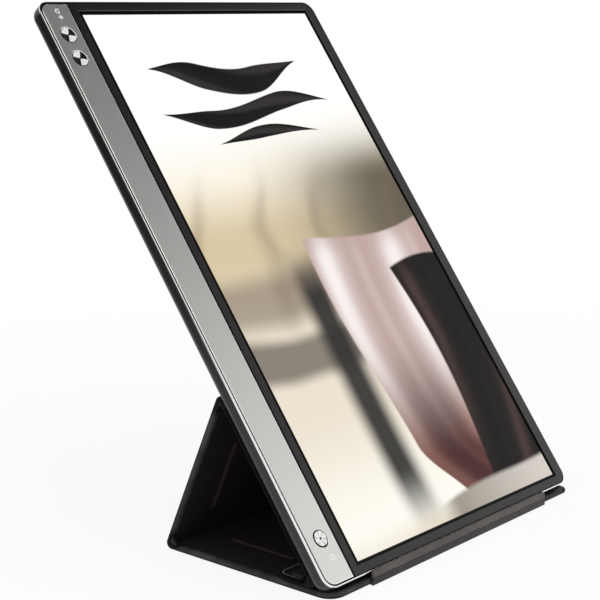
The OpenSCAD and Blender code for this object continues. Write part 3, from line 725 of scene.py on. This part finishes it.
def button(node, body, look):
    """A turned cap on its flange and stem: rounded rim, narrow land, shallow dish and a
    pierced centre."""
    centre, radius, top = cap_of(node)
    low, high = flat_box(node)
    flange = (high.x - low.x) / 2
    stem = 1.5 * MM
    flange_top = top - 0.95 * MM
    flange_low = flange_top - 0.6 * MM
    rim = 0.16 * MM
    land = 0.45 * MM
    dish = 0.28 * MM
    hole = 0.42 * MM
    bowl = radius - rim - land
    profile = [(0, low.z), (stem, low.z), (stem, flange_low), (flange, flange_low),
               (flange, flange_top), (radius, flange_top), (radius, top - rim)]
    profile += on_circle((radius - rim, top - rim), rim, (30, 60, 90))
    profile += [(bowl, top)]
    profile += [(bowl * share, top - dish * (1 - share ** 2)) for share in (0.92, 0.75, 0.5, 0.3)]
    profile += [(hole, top - dish), (hole * 0.8, top - dish - 0.12 * MM),
                (0, top - dish - 0.16 * MM)]
    rings = [[(x, y, z - top) for x, y in disc((0, 0), r, steps=72)(0)] for r, z in profile]
    place = FLAT @ Matrix.Translation((centre.x, centre.y, top))
    piece = make_piece(f"{node}_cap", *lofted(rings), look, "button_metal", place)
    # The cap's sides and flange below its rim are painted black, as shade in the hole round it
    second_look(piece, SEAL_AND_SHADE_BLACK, lambda middle, normal: middle.z < -rim
                and (math.hypot(middle.x, middle.y) > bowl or middle.z < -2 * dish))
    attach(piece, body)
    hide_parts(node)


def mark_piece(name, lines, x, y):
    """A thin printed mark on the control strip: lines in millimetres about a point of the
    monitor's frame."""
    _, high = flat_box("control_strip")
    levels = [(high.z - 0.02 * MM, 0), (high.z + 0.02 * MM, 0)]
    points, faces = [], []
    for line in lines:
        outline = stroke([(across * MM, along * MM) for across, along in line], 0.4 * MM)
        more, extra = levelled([fixed(outline)], levels)
        faces += [tuple(at + len(points) for at in face) for face in extra]
        points += more
    place = FLAT @ Matrix.Translation((x, y, 0)) @ Matrix.Rotation(-math.pi / 2, 4, "Z")
    piece = make_piece(name, points, faces, PRINT, "strip_metal", place)
    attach(piece, "monitor")


def stroke(points, width):
    """Outline of a line of this width along open points."""
    left, right = [], []
    for at, point in enumerate(points):
        before = Vector(points[max(at - 1, 0)])
        after = Vector(points[min(at + 1, len(points) - 1)])
        along = (after - before).normalized()
        side = Vector((-along.y, along.x)) * width / 2
        left.append(tuple(Vector(point) + side))
        right.append(tuple(Vector(point) - side))
    return right + left[::-1]


def marks():
    """Generic marks: a small screen and a plug by the upper buttons, a power sign below."""
    menu, _, _ = cap_of("menu_button")
    power, _, _ = cap_of("power_button")
    mark_piece("power_mark", [arc((0, 0), 1.3, 135, 405, 24), [(0, 0.1), (0, 1.9)]],
               power.x + 1.4 * MM, power.y - 10.2 * MM)
    mark_piece("plug_mark", [arc((0, 0), 0.9, 180, 360, 12), [(-1.1, 0), (1.1, 0)],
                             [(-0.5, 0.2), (-0.5, 1.1)], [(0.5, 0.2), (0.5, 1.1)],
                             [(0, -1.0), (0, -1.7)]],
               menu.x + 0.8 * MM, menu.y + 10.6 * MM)
    box = [(-1.2, -0.8), (1.2, -0.8), (1.2, 0.8), (-1.2, 0.8), (-1.2, -0.8)]
    mark_piece("screen_mark", [box[at:at + 2] for at in range(4)] + [[(-0.7, -1.4), (0.7, -1.4)]],
               menu.x + 0.3 * MM, menu.y + 14.2 * MM)


# ---------- the cover ----------

# Roundness of a panel's edge, and how deep its border's inner side and its lining's face
# lie, as shares of its thickness
ROLL = 0.43
DIP = 0.05
SUNK = 0.75 * DIP


class Panel:
    """A stiff panel in its own frame: Y along it from its fold line, Z to its inner side."""

    def __init__(self, name, body, fold, angle, ridge=None):
        self.name = name
        self.body = body
        self.place = Matrix.Translation(fold) @ Matrix.Rotation(angle, 4, "X")
        self.angle = angle
        low, high = local_box(name + "_skin", self.place)
        board_low, board_high = local_box(name + "_board", self.place)
        self.half = (high.x - low.x) / 2
        self.start, self.end = low.y, high.y
        self.outer = low.z
        self.thick = high.z - low.z
        self.rim = self.half - board_high.x
        self.skin = board_low.z - low.z
        self.under = board_high.z - low.z
        # Width of the border that is turned in
        self.turn = 3.0 * MM
        self.ridge = ridge

    def profile(self):
        """From the room for the board, over the turned-in border and round the edge to the
        outer face: (inset from the side, height above the outer face)."""
        r = ROLL * self.thick
        dip = DIP * self.thick
        points = [(self.rim, self.skin), (self.rim, self.under), (self.turn, self.under),
                  (self.turn, self.thick - dip), (self.turn - 0.35 * MM, self.thick - 0.3 * dip),
                  (self.turn - 0.9 * MM, self.thick)]
        points += on_circle((r, self.thick - r), r, (90, 108, 126, 144, 162, 180))
        return points + on_circle((r, r), r, (180, 202, 225, 248, 270))

    def point(self, x, along, height):
        return Vector((x, along, self.outer + height))


def border_path(panel, free, corners, inset):
    """A panel's side and free edges as one line, set in, from its fold side and back.
    corners are the radii of its left and right corner."""
    half = panel.half - inset
    if free == "start":
        edge, fold, sign = panel.start + inset, panel.end, 1
    else:
        edge, fold, sign = panel.end - inset, panel.start, -1
    left, right = [], []
    for line, corner in ((left, corners[0]), (right, corners[1])):
        r = max(corner - inset, 0.1 * MM)
        line += [(half, fold)]
        line += [(x, edge + sign * (r - y)) for x, y in arc((half - r, 0), r, 0, 90, 8)]
    return right + [(-x, y) for x, y in reversed(left)]


def skin_with_free_end(panel, free, corners):
    """Skin of a panel with one free end: closed round it and open to the board's room."""
    rings = [[panel.point(x, y, height) for x, y in border_path(panel, free, corners, inset)]
             for inset, height in panel.profile()]
    points, faces = lofted(rings, closed=False)
    count = len(rings[0])
    first = list(range(0, len(points), count))
    last = [at + count - 1 for at in reversed(first)]
    faces.append(tuple(first + last))
    return points, faces


def skin_between_folds(panel):
    """Skin of a panel that has a fold on both of its ends."""
    left = [(-panel.half + inset, height) for inset, height in panel.profile()]
    right = [(-x, height) for x, height in reversed(left)]
    stations = [panel.start, (panel.start + panel.end) / 2, panel.end]
    rings = [[panel.point(x, along, height) for x, height in left + right]
             for along in stations]
    return lofted(rings)


def ridge_height(panel, x, along):
    """Height of the embossed line that runs along the lining."""
    if panel.ridge is None:
        return 0.0
    start, end = panel.ridge
    reach = min(along - start, end - along)
    ends = min(max(reach / (2.5 * MM), 0.0), 1.0)
    across = (abs(x) - RIDGE_X) / RIDGE_HALF
    return RIDGE * ends * ends * (3 - 2 * ends) * math.exp(-across * across)


def ripple(x, along):
    """Slight unevenness of the soft lining, about 0.1 mm."""
    return 0.05 * MM * (math.sin(x / (23 * MM) + 1.3) * math.sin(along / (17 * MM))
                        + 0.6 * math.sin(x / (9 * MM) + along / (13 * MM)))


def lining_columns(half):
    """Places across the lining, closer together at its ends and over the ridges."""
    near = [RIDGE_X + step * 0.45 * MM for step in range(-6, 7)]
    clear = 1.5 * MM
    even = [half * step / 14 for step in range(15)]
    even = [x for x in even if not near[0] - clear <= x <= near[-1] + clear]
    near = [x for x in near if x < half - MM]
    right = sorted(even + near + [half - 0.6 * MM, half - 0.25 * MM])
    return [-x for x in reversed(right[1:])] + right


def lining(panel, free=None, corners=(0.0, 0.0)):
    """The panel's lining: a soft slab in the skin's opening, with embossed lines."""
    half = panel.half - panel.turn
    depth = SUNK * panel.thick
    # A thinner panel's lining is that much flatter
    share = panel.thick / (3 * MM)
    low = panel.start + (panel.turn if free == "start" else 0)
    high = panel.end - (panel.turn if free == "end" else 0)
    radii = [max(corner - panel.turn, 0.0) for corner in corners]
    r = max(radii)
    count = max(int((high - low) / (2.6 * MM)), 4)
    stations = [low + (high - low) * step / count for step in range(count + 1)]
    if r > 0:
        edge, sign = (low, 1) if free == "start" else (high, -1)
        near = [edge + sign * r * (1 - math.cos(turn)) for turn in QUARTER]
        even = [at for at in stations if at in (low, high) or abs(at - edge) > r]
        stations = sorted(near + even)
    rings = []
    for along in stations:
        from_edge = along - low if free == "start" else high - along
        reaches = [half - round_off(size, from_edge) for size in radii]
        top = []
        for x in lining_columns(half):
            reach = reaches[x > 0]
            x = max(-reach, min(reach, x))
            lift = min(reach - abs(x), from_edge if free else 1.0) / MM
            soft = min(max(lift, 0.0), 1.0)
            height = panel.thick - depth - 0.04 * MM * (1 - soft) ** 2 * share
            height += soft * (ripple(x, along) * share + ridge_height(panel, x, along))
            top.append(panel.point(x, along, height))
        bottom = [panel.point(reaches[1], along, panel.under),
                  panel.point(-reaches[0], along, panel.under)]
        rings.append(top + bottom)
    return lofted(rings)


def painted_rim_highlight(panel, free, corner, start, stop):
    """Field function: 1 where a painted highlight goes, on the upper part of a panel's side, from
    start to stop inwards of its edge, fading out at its folds. corner is its left corner's
    radius."""
    def band(look):
        x, y, z = look.spot()
        inwards = x.size() * -1.0 + panel.half
        if free:
            past_x = x.size() - (panel.half - corner)
            past_y = y - (panel.end - corner)
            if free == "start":
                past_y = y * -1.0 + (panel.start + corner)
            reach = past_x.most(0).power(2) + past_y.most(0).power(2)
            inwards = reach.power(0.5) * -1.0 + corner - past_x.most(past_y).least(0)
        found = inwards.rise(start, start + 0.4 * MM) * inwards.fall(stop, stop + 0.6 * MM)
        found = found * z.rise(-2.3 * MM, -1.5 * MM)
        fade = 7 * MM
        if free != "start":
            found = found * y.rise(panel.start, panel.start + fade)
        if free != "end":
            found = found * y.fall(panel.end - fade, panel.end)
        return found
    return band


def panel_leather(panel, free, corner):
    """Leather of a panel, painted darker than the outer leather as shade: base and rear get a
    painted highlight over their whole edge, the support panel and the foot flap are painted
    darker still, with a fine painted highlight line."""
    name = panel.name + "_leather"
    if panel.name in ("base", "rear"):
        rim_highlight = (painted_rim_highlight(panel, free, corner, -0.5 * MM, 2.6 * MM), 9 * MM, 0.5, RIM_HIGHLIGHT_TONE)
        return leather(name, "#090808", "#121111", rim_highlight=rim_highlight, gloss=0.1)
    rim_highlight = (painted_rim_highlight(panel, free, corner, 0.9 * MM, 1.9 * MM), 9 * MM, 0.7, "#7d7978")
    return leather(name, "#050404", "#0b0a0a", rim_highlight=rim_highlight, gloss=0.05)


def fold_leather(half):
    """Leather of the folds: creased, painted darker than the outer leather as shade, with a
    mottled painted highlight band along the sides.
    """
    def band(look):
        x, _, _ = look.spot()
        inwards = x.size() * -1.0 + half
        return inwards.rise(0.3 * MM, 0.7 * MM) * inwards.fall(2.4 * MM, 3.0 * MM)
    return leather("fold_leather", "#090808", "#121111", gloss=0.1,
                   rim_highlight=(band, 2.6 * MM, 0.0, RIM_HIGHLIGHT_TONE))


def cover_panel(panel, free=None, corners=(0.0, 0.0)):
    """Both visible pieces of a stiff panel."""
    made = skin_with_free_end(panel, free, corners) if free else skin_between_folds(panel)
    skin = make_piece(panel.name + "_wrap", *made, panel_leather(panel, free, corners[0]),
                      "cover_leather", panel.place)
    # The outer face keeps the leather's own tone; the rest of the skin is a copy painted darker
    # as shade
    second_look(skin, OUTER_LEATHER, lambda middle, normal: normal.z < -0.7)
    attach(skin, panel.body)
    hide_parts(panel.name + "_skin")
    if panel.name + "_lining" in NODES:
        soft = make_piece(panel.name + "_inside", *lining(panel, free, corners),
                          LININGS[panel.name], "cover_lining", panel.place)
        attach(soft, panel.body)
        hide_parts(panel.name + "_lining")


# Outer radius of the bends: between base and rear, and at the thinner panels
THICK_BEND = 3.0 * MM
THIN_BEND = 2.7 * MM


def fold_lines(a, b, at, radius):
    """Outer and inner line of the fold from panel a to panel b, as matching points in the
    Y-Z plane, with the nominal thickness at each."""
    def spot(panel, along, height):
        found = panel.place @ panel.point(0, along, height)
        return Vector((found.y, found.z))

    start_out, start_in = spot(a, a.end, 0), spot(a, a.end, a.thick)
    end_out, end_in = spot(b, b.start, 0), spot(b, b.start, b.thick)
    middle = Vector((at.y, at.z))
    normals = [Vector((math.sin(panel.angle), -math.cos(panel.angle))) for panel in (a, b)]
    # The bend's centre is where the lines a radius inside both outer faces cross
    reaches = [-a.outer - radius, -b.outer - radius]
    share = normals[0].dot(normals[1])
    first = (reaches[0] - reaches[1] * share) / (1 - share ** 2)
    second = (reaches[1] - reaches[0] * share) / (1 - share ** 2)
    centre = middle + first * normals[0] + second * normals[1]
    turn_a = math.degrees(a.angle) - 90
    turn_b = math.degrees(b.angle) - 90
    bend = [Vector(point) for point in arc(centre, radius, turn_a, turn_b, 12)]
    outer = [start_out, start_out.lerp(bend[0], 0.5), *bend, bend[-1].lerp(end_out, 0.5), end_out]
    lengths = [0.0]
    for one, two in zip(outer, outer[1:]):
        lengths.append(lengths[-1] + (two - one).length)
    found = []
    for point, length in zip(outer, lengths):
        t = length / lengths[-1]
        inner = start_in * (1 - t) ** 2 + middle * (2 * t * (1 - t)) + end_in * t ** 2
        found.append((point, inner, t, a.thick * (1 - t) + b.thick * t))
    return found


def fold(name, a, b, at, radius):
    """The flexible strip between two panels: skin round its ends, and soft lining inside.
    at is its fold line, and radius that of its outer bend."""
    half = a.half
    # The lining's puckers: their height and spacing, and how far in they die away
    pucker, crimp, fade = 0.16 * MM, 0.9 * MM, 9 * MM
    lines = fold_lines(a, b, at, radius)
    skin_rings, soft_rings = [], []
    for outer, inner, t, thick in lines:
        through = (inner - outer) / thick

        def spot(x, height):
            found = outer + through * height
            return Vector((x, found.x, found.y))

        # The panels' own edges, without the room for their boards
        mixed = [((1 - t) * one[0] + t * two[0], (1 - t) * one[1] + t * two[1])
                 for one, two in zip(a.profile()[2:], b.profile()[2:])]
        left = [(-half + inset, height) for inset, height in mixed]
        right = [(-x, height) for x, height in reversed(left)]
        skin_rings.append([spot(x, height) for x, height in left + right])
        under = mixed[0][1]
        reach = half - a.turn
        pinch = math.sin(math.pi * t)
        top = []
        for x in lining_columns(reach):
            near = math.exp(-(reach - abs(x)) / fade)
            soft = min((reach - abs(x)) / MM, 1.0)
            lift = pucker * pinch * near * math.sin(x / crimp) * soft
            height = thick - SUNK * thick - 0.04 * thick * (1 - soft) ** 2
            top.append(spot(x, height + lift))
        soft_rings.append(top + [spot(reach, under), spot(-reach, under)])

    skin = make_piece(name + "_wrap", *lofted(skin_rings), fold_leather(half), "cover_leather")
    # The middle faces keep the leather's own tone; the sides are a copy painted darker as shade
    second_look(skin, OUTER_LEATHER, lambda middle, normal: abs(middle.x) < MM)
    soft = make_piece(name + "_inside", *lofted(soft_rings), LININGS["fold"], "cover_lining")
    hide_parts(name)
    for piece in (skin, soft):
        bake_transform(piece)


# What the pad gives up at its free end, and its corners' radii, from the fold side on
PAD_SPARE = 2.5 * MM
PAD_CORNERS = (MM, MM, 4 * MM, 4 * MM)


def foot_pad(panel):
    """The raised pad on the foot flap: a crowned cushion with rounded corners, on the
    flap's lining. It ends a little before the solid that it stands for."""
    piece = make_piece("foot_inside", *lining(panel, "end", FOOT_CORNERS), LININGS["foot"],
                       "cover_lining", panel.place)
    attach(piece, "foot_flap")
    low, high = local_box("foot_pad", panel.place)
    high.y -= PAD_SPARE
    outline = rounded_box((low.x, low.y), (high.x, high.y), PAD_CORNERS)
    rise = high.z - low.z
    # Upright up to 15% of its height, then rounded, then almost level to its middle
    levels = [(low.z, 0), (low.z + 0.15 * rise, 0)]
    levels += [(low.z + rise * (0.15 + 0.8 * math.sin(turn)), 1.8 * MM * (1 - math.cos(turn)))
               for turn in QUARTER]
    levels += [(high.z - 0.01 * rise, 2.8 * MM), (high.z, 4.0 * MM)]
    piece = make_piece("foot_cushion", *levelled([outline], levels), PAD, "cover_lining",
                       panel.place, sharp=50)
    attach(piece, "foot_flap")
    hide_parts("foot_pad")


# ---------- the stop flap ----------

def softened(corners, radii):
    """Closed outline through corners given in order, each rounded by its radius."""
    found = []
    for at, (corner, radius) in enumerate(zip(corners, radii)):
        here = Vector(corner)
        before = (Vector(corners[at - 1]) - here).normalized()
        after = (Vector(corners[(at + 1) % len(corners)]) - here).normalized()
        half = before.angle(after) / 2
        reach = radius / math.tan(half)
        start, end = here + before * reach, here + after * reach
        for t in (0, 0.25, 0.5, 0.75, 1):
            found.append(start * (1 - t) ** 2 + here * (2 * t * (1 - t)) + end * t ** 2)
    return found


# Radii of the lip's section: inner lower, inner upper, outer upper and outer lower corner
LIP_RADII = (0.1 * MM, 0.2 * MM, 0.7 * MM, 0.15 * MM)
# How much shorter the lip's left end is
LIP_TRIM = 0.4 * MM


def lip_places(places, half):
    """Places along the lip, with its left half drawn in for the shorter end, and how far
    each is from the lip's end."""
    return [(x + LIP_TRIM * max(-x / half, 0), half - abs(x)) for x in places]


def stop_flap():
    """The lip along the monitor's bottom edge: a slim rounded bar of grained leather."""
    low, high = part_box("stop_skin")
    # How far its face leans back, its ends' radii from the front and from above, and how
    # far its top stands over the solid
    slope = 0.5 * MM
    corner = 1.5 * MM
    edge = 0.35 * MM
    crown = 0.35 * MM
    height = high.z - low.z
    half = (high.x - low.x) / 2
    rings = []
    insets = [0.0] + [corner * (1 - math.cos(turn)) for turn in QUARTER]
    places = [-half + inset for inset in insets]
    places += [-half + corner + (2 * half - 2 * corner) * step / 40 for step in range(1, 40)]
    places += [half - inset for inset in reversed(insets)]
    for x, inset in lip_places(places, half):
        drop = round_off(corner, inset)
        tuck = round_off(edge, inset)
        top = high.z + crown - drop * 0.98
        lean = slope * (top - low.z) / height
        corners = [(high.y - tuck * 0.5, low.z), (high.y - tuck * 0.5, top),
                   (low.y + lean + tuck, top), (low.y + tuck, low.z + 0.05 * MM)]
        radii = [min(size, (top - low.z) * 0.3) for size in LIP_RADII]
        wave = 0.05 * MM * math.sin(x / (11 * MM)) * math.sin(x / (3.7 * MM) + 1)
        rings.append([(x, y + (wave if y < low.y + slope * 1.2 else 0), z)
                      for y, z in softened(corners, radii)])
    piece = make_piece("stop_lip", *lofted(rings), STOP_LEATHER, "stop_leather", sharp=50)
    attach(piece, "stop_flap")
    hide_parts("stop_skin")


def stop_fold():
    """The fold under the lip, joined to the base panel's front edge. Its front slants in
    towards the floor, and its leather is the lip's, painted darker as shade under the lip."""
    low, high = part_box("stop_fold")
    lip_low, lip_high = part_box("stop_skin")
    half = (lip_high.x - lip_low.x) / 2
    # Radii of its section, from the inner lower corner on, and of its ends
    radii = (0.1 * MM, 0.05 * MM, 0.05 * MM, 0.5 * MM)
    edge = 0.3 * MM
    slant = 0.1 * MM
    places = [-half + edge * share for share in (0, 0.1, 0.3, 0.6, 1)]
    places = places + [0.0] + [-x for x in reversed(places)]
    rings = []
    for x, inset in lip_places(places, half):
        tuck = round_off(edge, inset)
        corners = [(high.y, low.z + tuck), (high.y, high.z), (lip_low.y + tuck, high.z),
                   (lip_low.y + slant + tuck, low.z + tuck)]
        rings.append([(x, y, z) for y, z in softened(corners, radii)])
    piece = make_piece("stop_fold_wrap", *lofted(rings), STOP_LEATHER_SHADED, "stop_leather",
                       sharp=50)
    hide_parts("stop_fold")
    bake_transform(piece)


# ---------- studio ----------

# The photograph's camera, fitted to the screen's corners: lens and sensor in millimetres
CAMERA_AT = Vector((-0.59210, -0.45753, 0.26687))
CAMERA_LOOKS = Vector((0.74439, 0.62947, -0.22285))
CAMERA_LENS = 88.675
CAMERA_SENSOR = 36
CAMERA_SHIFT = (-0.027, 0.0717)
LAMP_AT = Vector((-0.1, -0.9, 1.7))
LAMP_TARGET = Vector((0, 0, 0.12))
LAMP_SIDE = 1.2
LAMP_POWER = 6
FLOOR_HALF = 6.0


def aimed(name, data, at, direction):
    """A camera or lamp at a place, looking in a direction."""
    made = bpy.data.objects.new(name, data)
    made.location = at
    made.rotation_mode = "QUATERNION"
    made.rotation_quaternion = direction.to_track_quat("-Z", "Y")
    bpy.context.scene.collection.objects.link(made)
    return made


def camera():
    data = bpy.data.cameras.new("camera")
    data.lens = CAMERA_LENS
    data.sensor_width = CAMERA_SENSOR
    data.shift_x, data.shift_y = CAMERA_SHIFT
    bpy.context.scene.camera = aimed("camera", data, CAMERA_AT, CAMERA_LOOKS)


def background_rays(tree):
    """1 for rays that see the background straight, and 1 for those that see it mirrored or
    through glass."""
    path = tree.nodes.new("ShaderNodeLightPath")
    straight = Field(tree, path.outputs["Is Camera Ray"])
    mirrored = Field(tree, path.outputs["Is Glossy Ray"])
    return straight, mirrored.most(Field(tree, path.outputs["Is Transmission Ray"]))


def backdrop():
    """A white studio as the world. Gloss and glass mirror a sweep that is white at the
    horizon and dark towards the ceiling, with a black flag beyond the object's left side
    and a lamp box over its front left. Diffuse rays get a grey that is lighter overhead."""
    world = bpy.data.worlds.new("studio")
    bpy.context.scene.world = world
    world.use_nodes = True
    tree = world.node_tree
    shader = tree.nodes["Background"]
    x, y, z = spot_in(tree, "Generated")
    ceiling = z.rise(0.44, 0.67, 1.0, 0.02)
    flag = x.fall(-0.60, -0.35) * y.rise(0.15, 0.45) * z.fall(0.45, 0.60)
    lamp = (x * -0.60 + y * -0.40 + z * 0.69).rise(0.88, 0.96, 0.0, 0.95)
    sweep = (ceiling * (flag * -0.94 + 1)).most(lamp)
    straight, mirrored = background_rays(tree)
    level = mirrored.mix(z.rise(-0.2, 1.0, 0.55, 0.95), sweep)
    tree.links.new(straight.mix(level, (1, 1, 1)).socket, shader.inputs["Color"])


def floor():
    """A square of white paper. The camera sees it plain but for a soft shadow round the
    object, gloss mirrors it, and it is lit as paper for everything else."""
    mesh = bpy.data.meshes.new("floor")
    grid = bmesh.new()
    bmesh.ops.create_grid(grid, x_segments=24, y_segments=24, size=FLOOR_HALF)
    grid.to_mesh(mesh)
    grid.free()
    ground = bpy.data.objects.new("floor", mesh)
    bpy.context.scene.collection.objects.link(ground)
    look = Look("floor_paper", gloss=0.1, Roughness=0.9)
    look.put("Base Color", (0.9, 0.9, 0.9))
    x, y, _ = look.spot()
    far = (x * x + y * y).rise(0.01, 0.5, 0.88, 1.0)
    paper = look.tree.nodes.new("ShaderNodeEmission")
    straight, mirrored = background_rays(look.tree)
    # Where it is mirrored, the black flag beyond the left side hides the paper behind it
    flag = x.fall(-0.55, -0.25) * y.rise(0.10, 0.40) * mirrored
    join(look.tree, flag * -0.94 + 1, paper.inputs["Strength"])
    blend = look.tree.nodes.new("ShaderNodeMixShader")
    out = look.tree.nodes["Material Output"]
    join(look.tree, straight.most(mirrored) * far, blend.inputs[0])
    look.tree.links.new(look.shader.outputs[0], blend.inputs[1])
    look.tree.links.new(paper.outputs[0], blend.inputs[2])
    look.tree.links.new(blend.outputs[0], out.inputs["Surface"])
    mesh.materials.append(look.material)


def key_lamp():
    """A large soft lamp over the front, aimed at the screen's lower half."""
    data = bpy.data.lights.new("key", "AREA")
    data.shape = "RECTANGLE"
    data.size = LAMP_SIDE
    data.size_y = LAMP_SIDE
    data.energy = LAMP_POWER
    aimed("key", data, LAMP_AT, LAMP_TARGET - LAMP_AT)


# ---------- finishes ----------

HOUSING = satin_plastic("housing_plastic", "#0c0c0d", 0.34)
BEZEL_PLASTIC = satin_plastic("bezel_plastic", "#130f0d", 0.32)
# A lighter copy of the bezel plastic: painted highlight on its downward chamfers
BEZEL_EDGE_HIGHLIGHT = satin_plastic("bezel_edge_highlight", "#33302f", 0.24)
FRAME_PLASTIC = satin_plastic("frame_plastic", "#151517", 0.55)
STRIP_METAL = brushed_metal("strip_metal", "#f1efec", 0.36, (1, 0.02, 0.02), 0.0015 * MM)
EDGE_METAL = brushed_metal("strip_edge", "#f6f5f4", 0.14, (1, 0.02, 0.02), 0.001 * MM)
TRIM_METAL = brushed_metal("trim_metal", "#f0efee", 0.16, (0.3, 0.3, 0.3))
# Button caps whose white and dark rays are painted reflections
CAP_METAL = cap_with_painted_beams("button_metal", "#111111", 2, -2.55, 0.2)
POWER_METAL = cap_with_painted_beams("power_metal", "#d6d4d2", 6, 0.6, 0.9, 0.55 * MM)
# Matt black for the seals and the gasket, and painted shade on the holes' walls and the caps'
# sides
SEAL_AND_SHADE_BLACK = satin_plastic("seal_and_shade_black", "#040404", 0.7, gloss=0.05)

# Tone of the painted highlight along the cover's edges
RIM_HIGHLIGHT_TONE = "#504e4e"
# The cover leather's own tone. The panels and folds use copies of it painted darker, as shade.
OUTER_LEATHER = leather("outer_leather", "#121111", "#1e1d1c", gloss=0.3)
PAD = leather("pad_leather", "#2e2a28", "#423c39", gloss=0.3)
STOP_LEATHER = leather("stop_leather", "#474240", "#69625f", 0.6 * MM, 0.09 * MM)
# The lip's leather painted darker, as shade, for the fold under it
STOP_LEATHER_SHADED = leather("stop_leather_shaded", "#1f1c1b", "#2d2928",
                            0.6 * MM, 0.06 * MM, gloss=0.4)
PRINT = satin_plastic("print_white", "#f7f7f5", 0.6)

LINING = "#161012"
PLAIN_LINING = microfibre("fold_lining", LINING)
LININGS = {
    "base": microfibre("cover_lining", LINING, BASE_RIDGE),
    "rear": microfibre("rear_lining", LINING, REAR_RIDGE),
    "support": PLAIN_LINING,
    "foot": PLAIN_LINING,
    "fold": PLAIN_LINING,
}


def node_finishes():
    """Finishes of the carried-over nodes, most of them inside: each has its own texture."""
    board = circuit_board("circuit_board")
    found = {"rear_housing": HOUSING, "mid_frame": FRAME_PLASTIC, "edge_trim": TRIM_METAL,
             "lcd_cell": screen_glass(), "main_board": board, "power_board": board,
             "driver_board": board}
    for node, name, colour, rough in (
            ("light_guide", "light_guide_plastic", "#dfe9ee", 0.2),
            ("led_bar", "led_strip", "#f1e5a6", 0.3),
            ("main_chips", "chip_plastic", "#202124", 0.5),
            ("board_flex", "flat_cable", "#b7681a", 0.3),
            ("panel_flex", "panel_cable", "#b7681a", 0.3),
            ("usb_tongue", "socket_tongue", "#161617", 0.5),
            ("press_switches", "switch_plastic", "#2c2e31", 0.45)):
        found[node] = satin_plastic(name, colour, rough)
    for node in ("base_board", "rear_board", "support_board", "foot_board", "stop_core"):
        found[node] = satin_plastic(node + "_card", "#6b6355", 0.8)
    for node, name, colour, rough in (
            ("backlight_tray", "tray_metal", "#b9bdc2", 0.32),
            ("support_magnets", "magnet_plate", "#b9bdc2", 0.32),
            ("foot_magnets", "foot_magnet_plate", "#b9bdc2", 0.32),
            ("keeper_plate", "keeper_steel", "#8d9196", 0.4),
            ("base_keeper", "base_keeper_steel", "#8d9196", 0.4)):
        found[node] = brushed_metal(name, colour, rough, (1, 0.1, 0.1))
    found["usb_shell"] = brushed_metal("socket_steel", "#c9cccf", 0.22, (0.2, 1, 1))
    found["board_screws"] = brushed_metal("screw_steel", "#c4c7ca", 0.25, (1, 1, 1))
    return found


def paint_frame():
    for node, look in node_finishes().items():
        for slot in NODES[node].material_slots:
            slot.material = look.material


# ---------- everything in place ----------

paint_frame()
control_strip()
front_bezel()
window_gasket()
seals()
button("menu_button", "menu_key", CAP_METAL)
button("select_button", "select_key", CAP_METAL)
button("power_button", "power_key", POWER_METAL)
marks()

rear_at = joint_at("rear_hinge")
top_at = joint_at("top_hinge")
foot_at = joint_at("foot_hinge")
base = Panel("base", "base", rear_at, 0.0, ridge=BASE_RIDGE)
rear = Panel("rear", "rear_panel", rear_at, angle_between(rear_at, top_at), ridge=REAR_RIDGE)
support = Panel("support", "support_panel", top_at, angle_between(top_at, foot_at) % math.tau)
foot = Panel("foot", "foot_flap", foot_at, math.tau)

cover_panel(base, "start", BASE_CORNERS)
cover_panel(rear)
cover_panel(support)
cover_panel(foot, "end", FOOT_CORNERS)
foot_pad(foot)
fold("rear_fold", base, rear, rear_at, THICK_BEND)
fold("top_fold", rear, support, top_at, THIN_BEND)
fold("foot_fold", support, foot, foot_at, THIN_BEND)
stop_flap()
stop_fold()

bpy.context.scene.view_settings.view_transform = "Standard"
camera()
backdrop()
floor()
key_lamp()
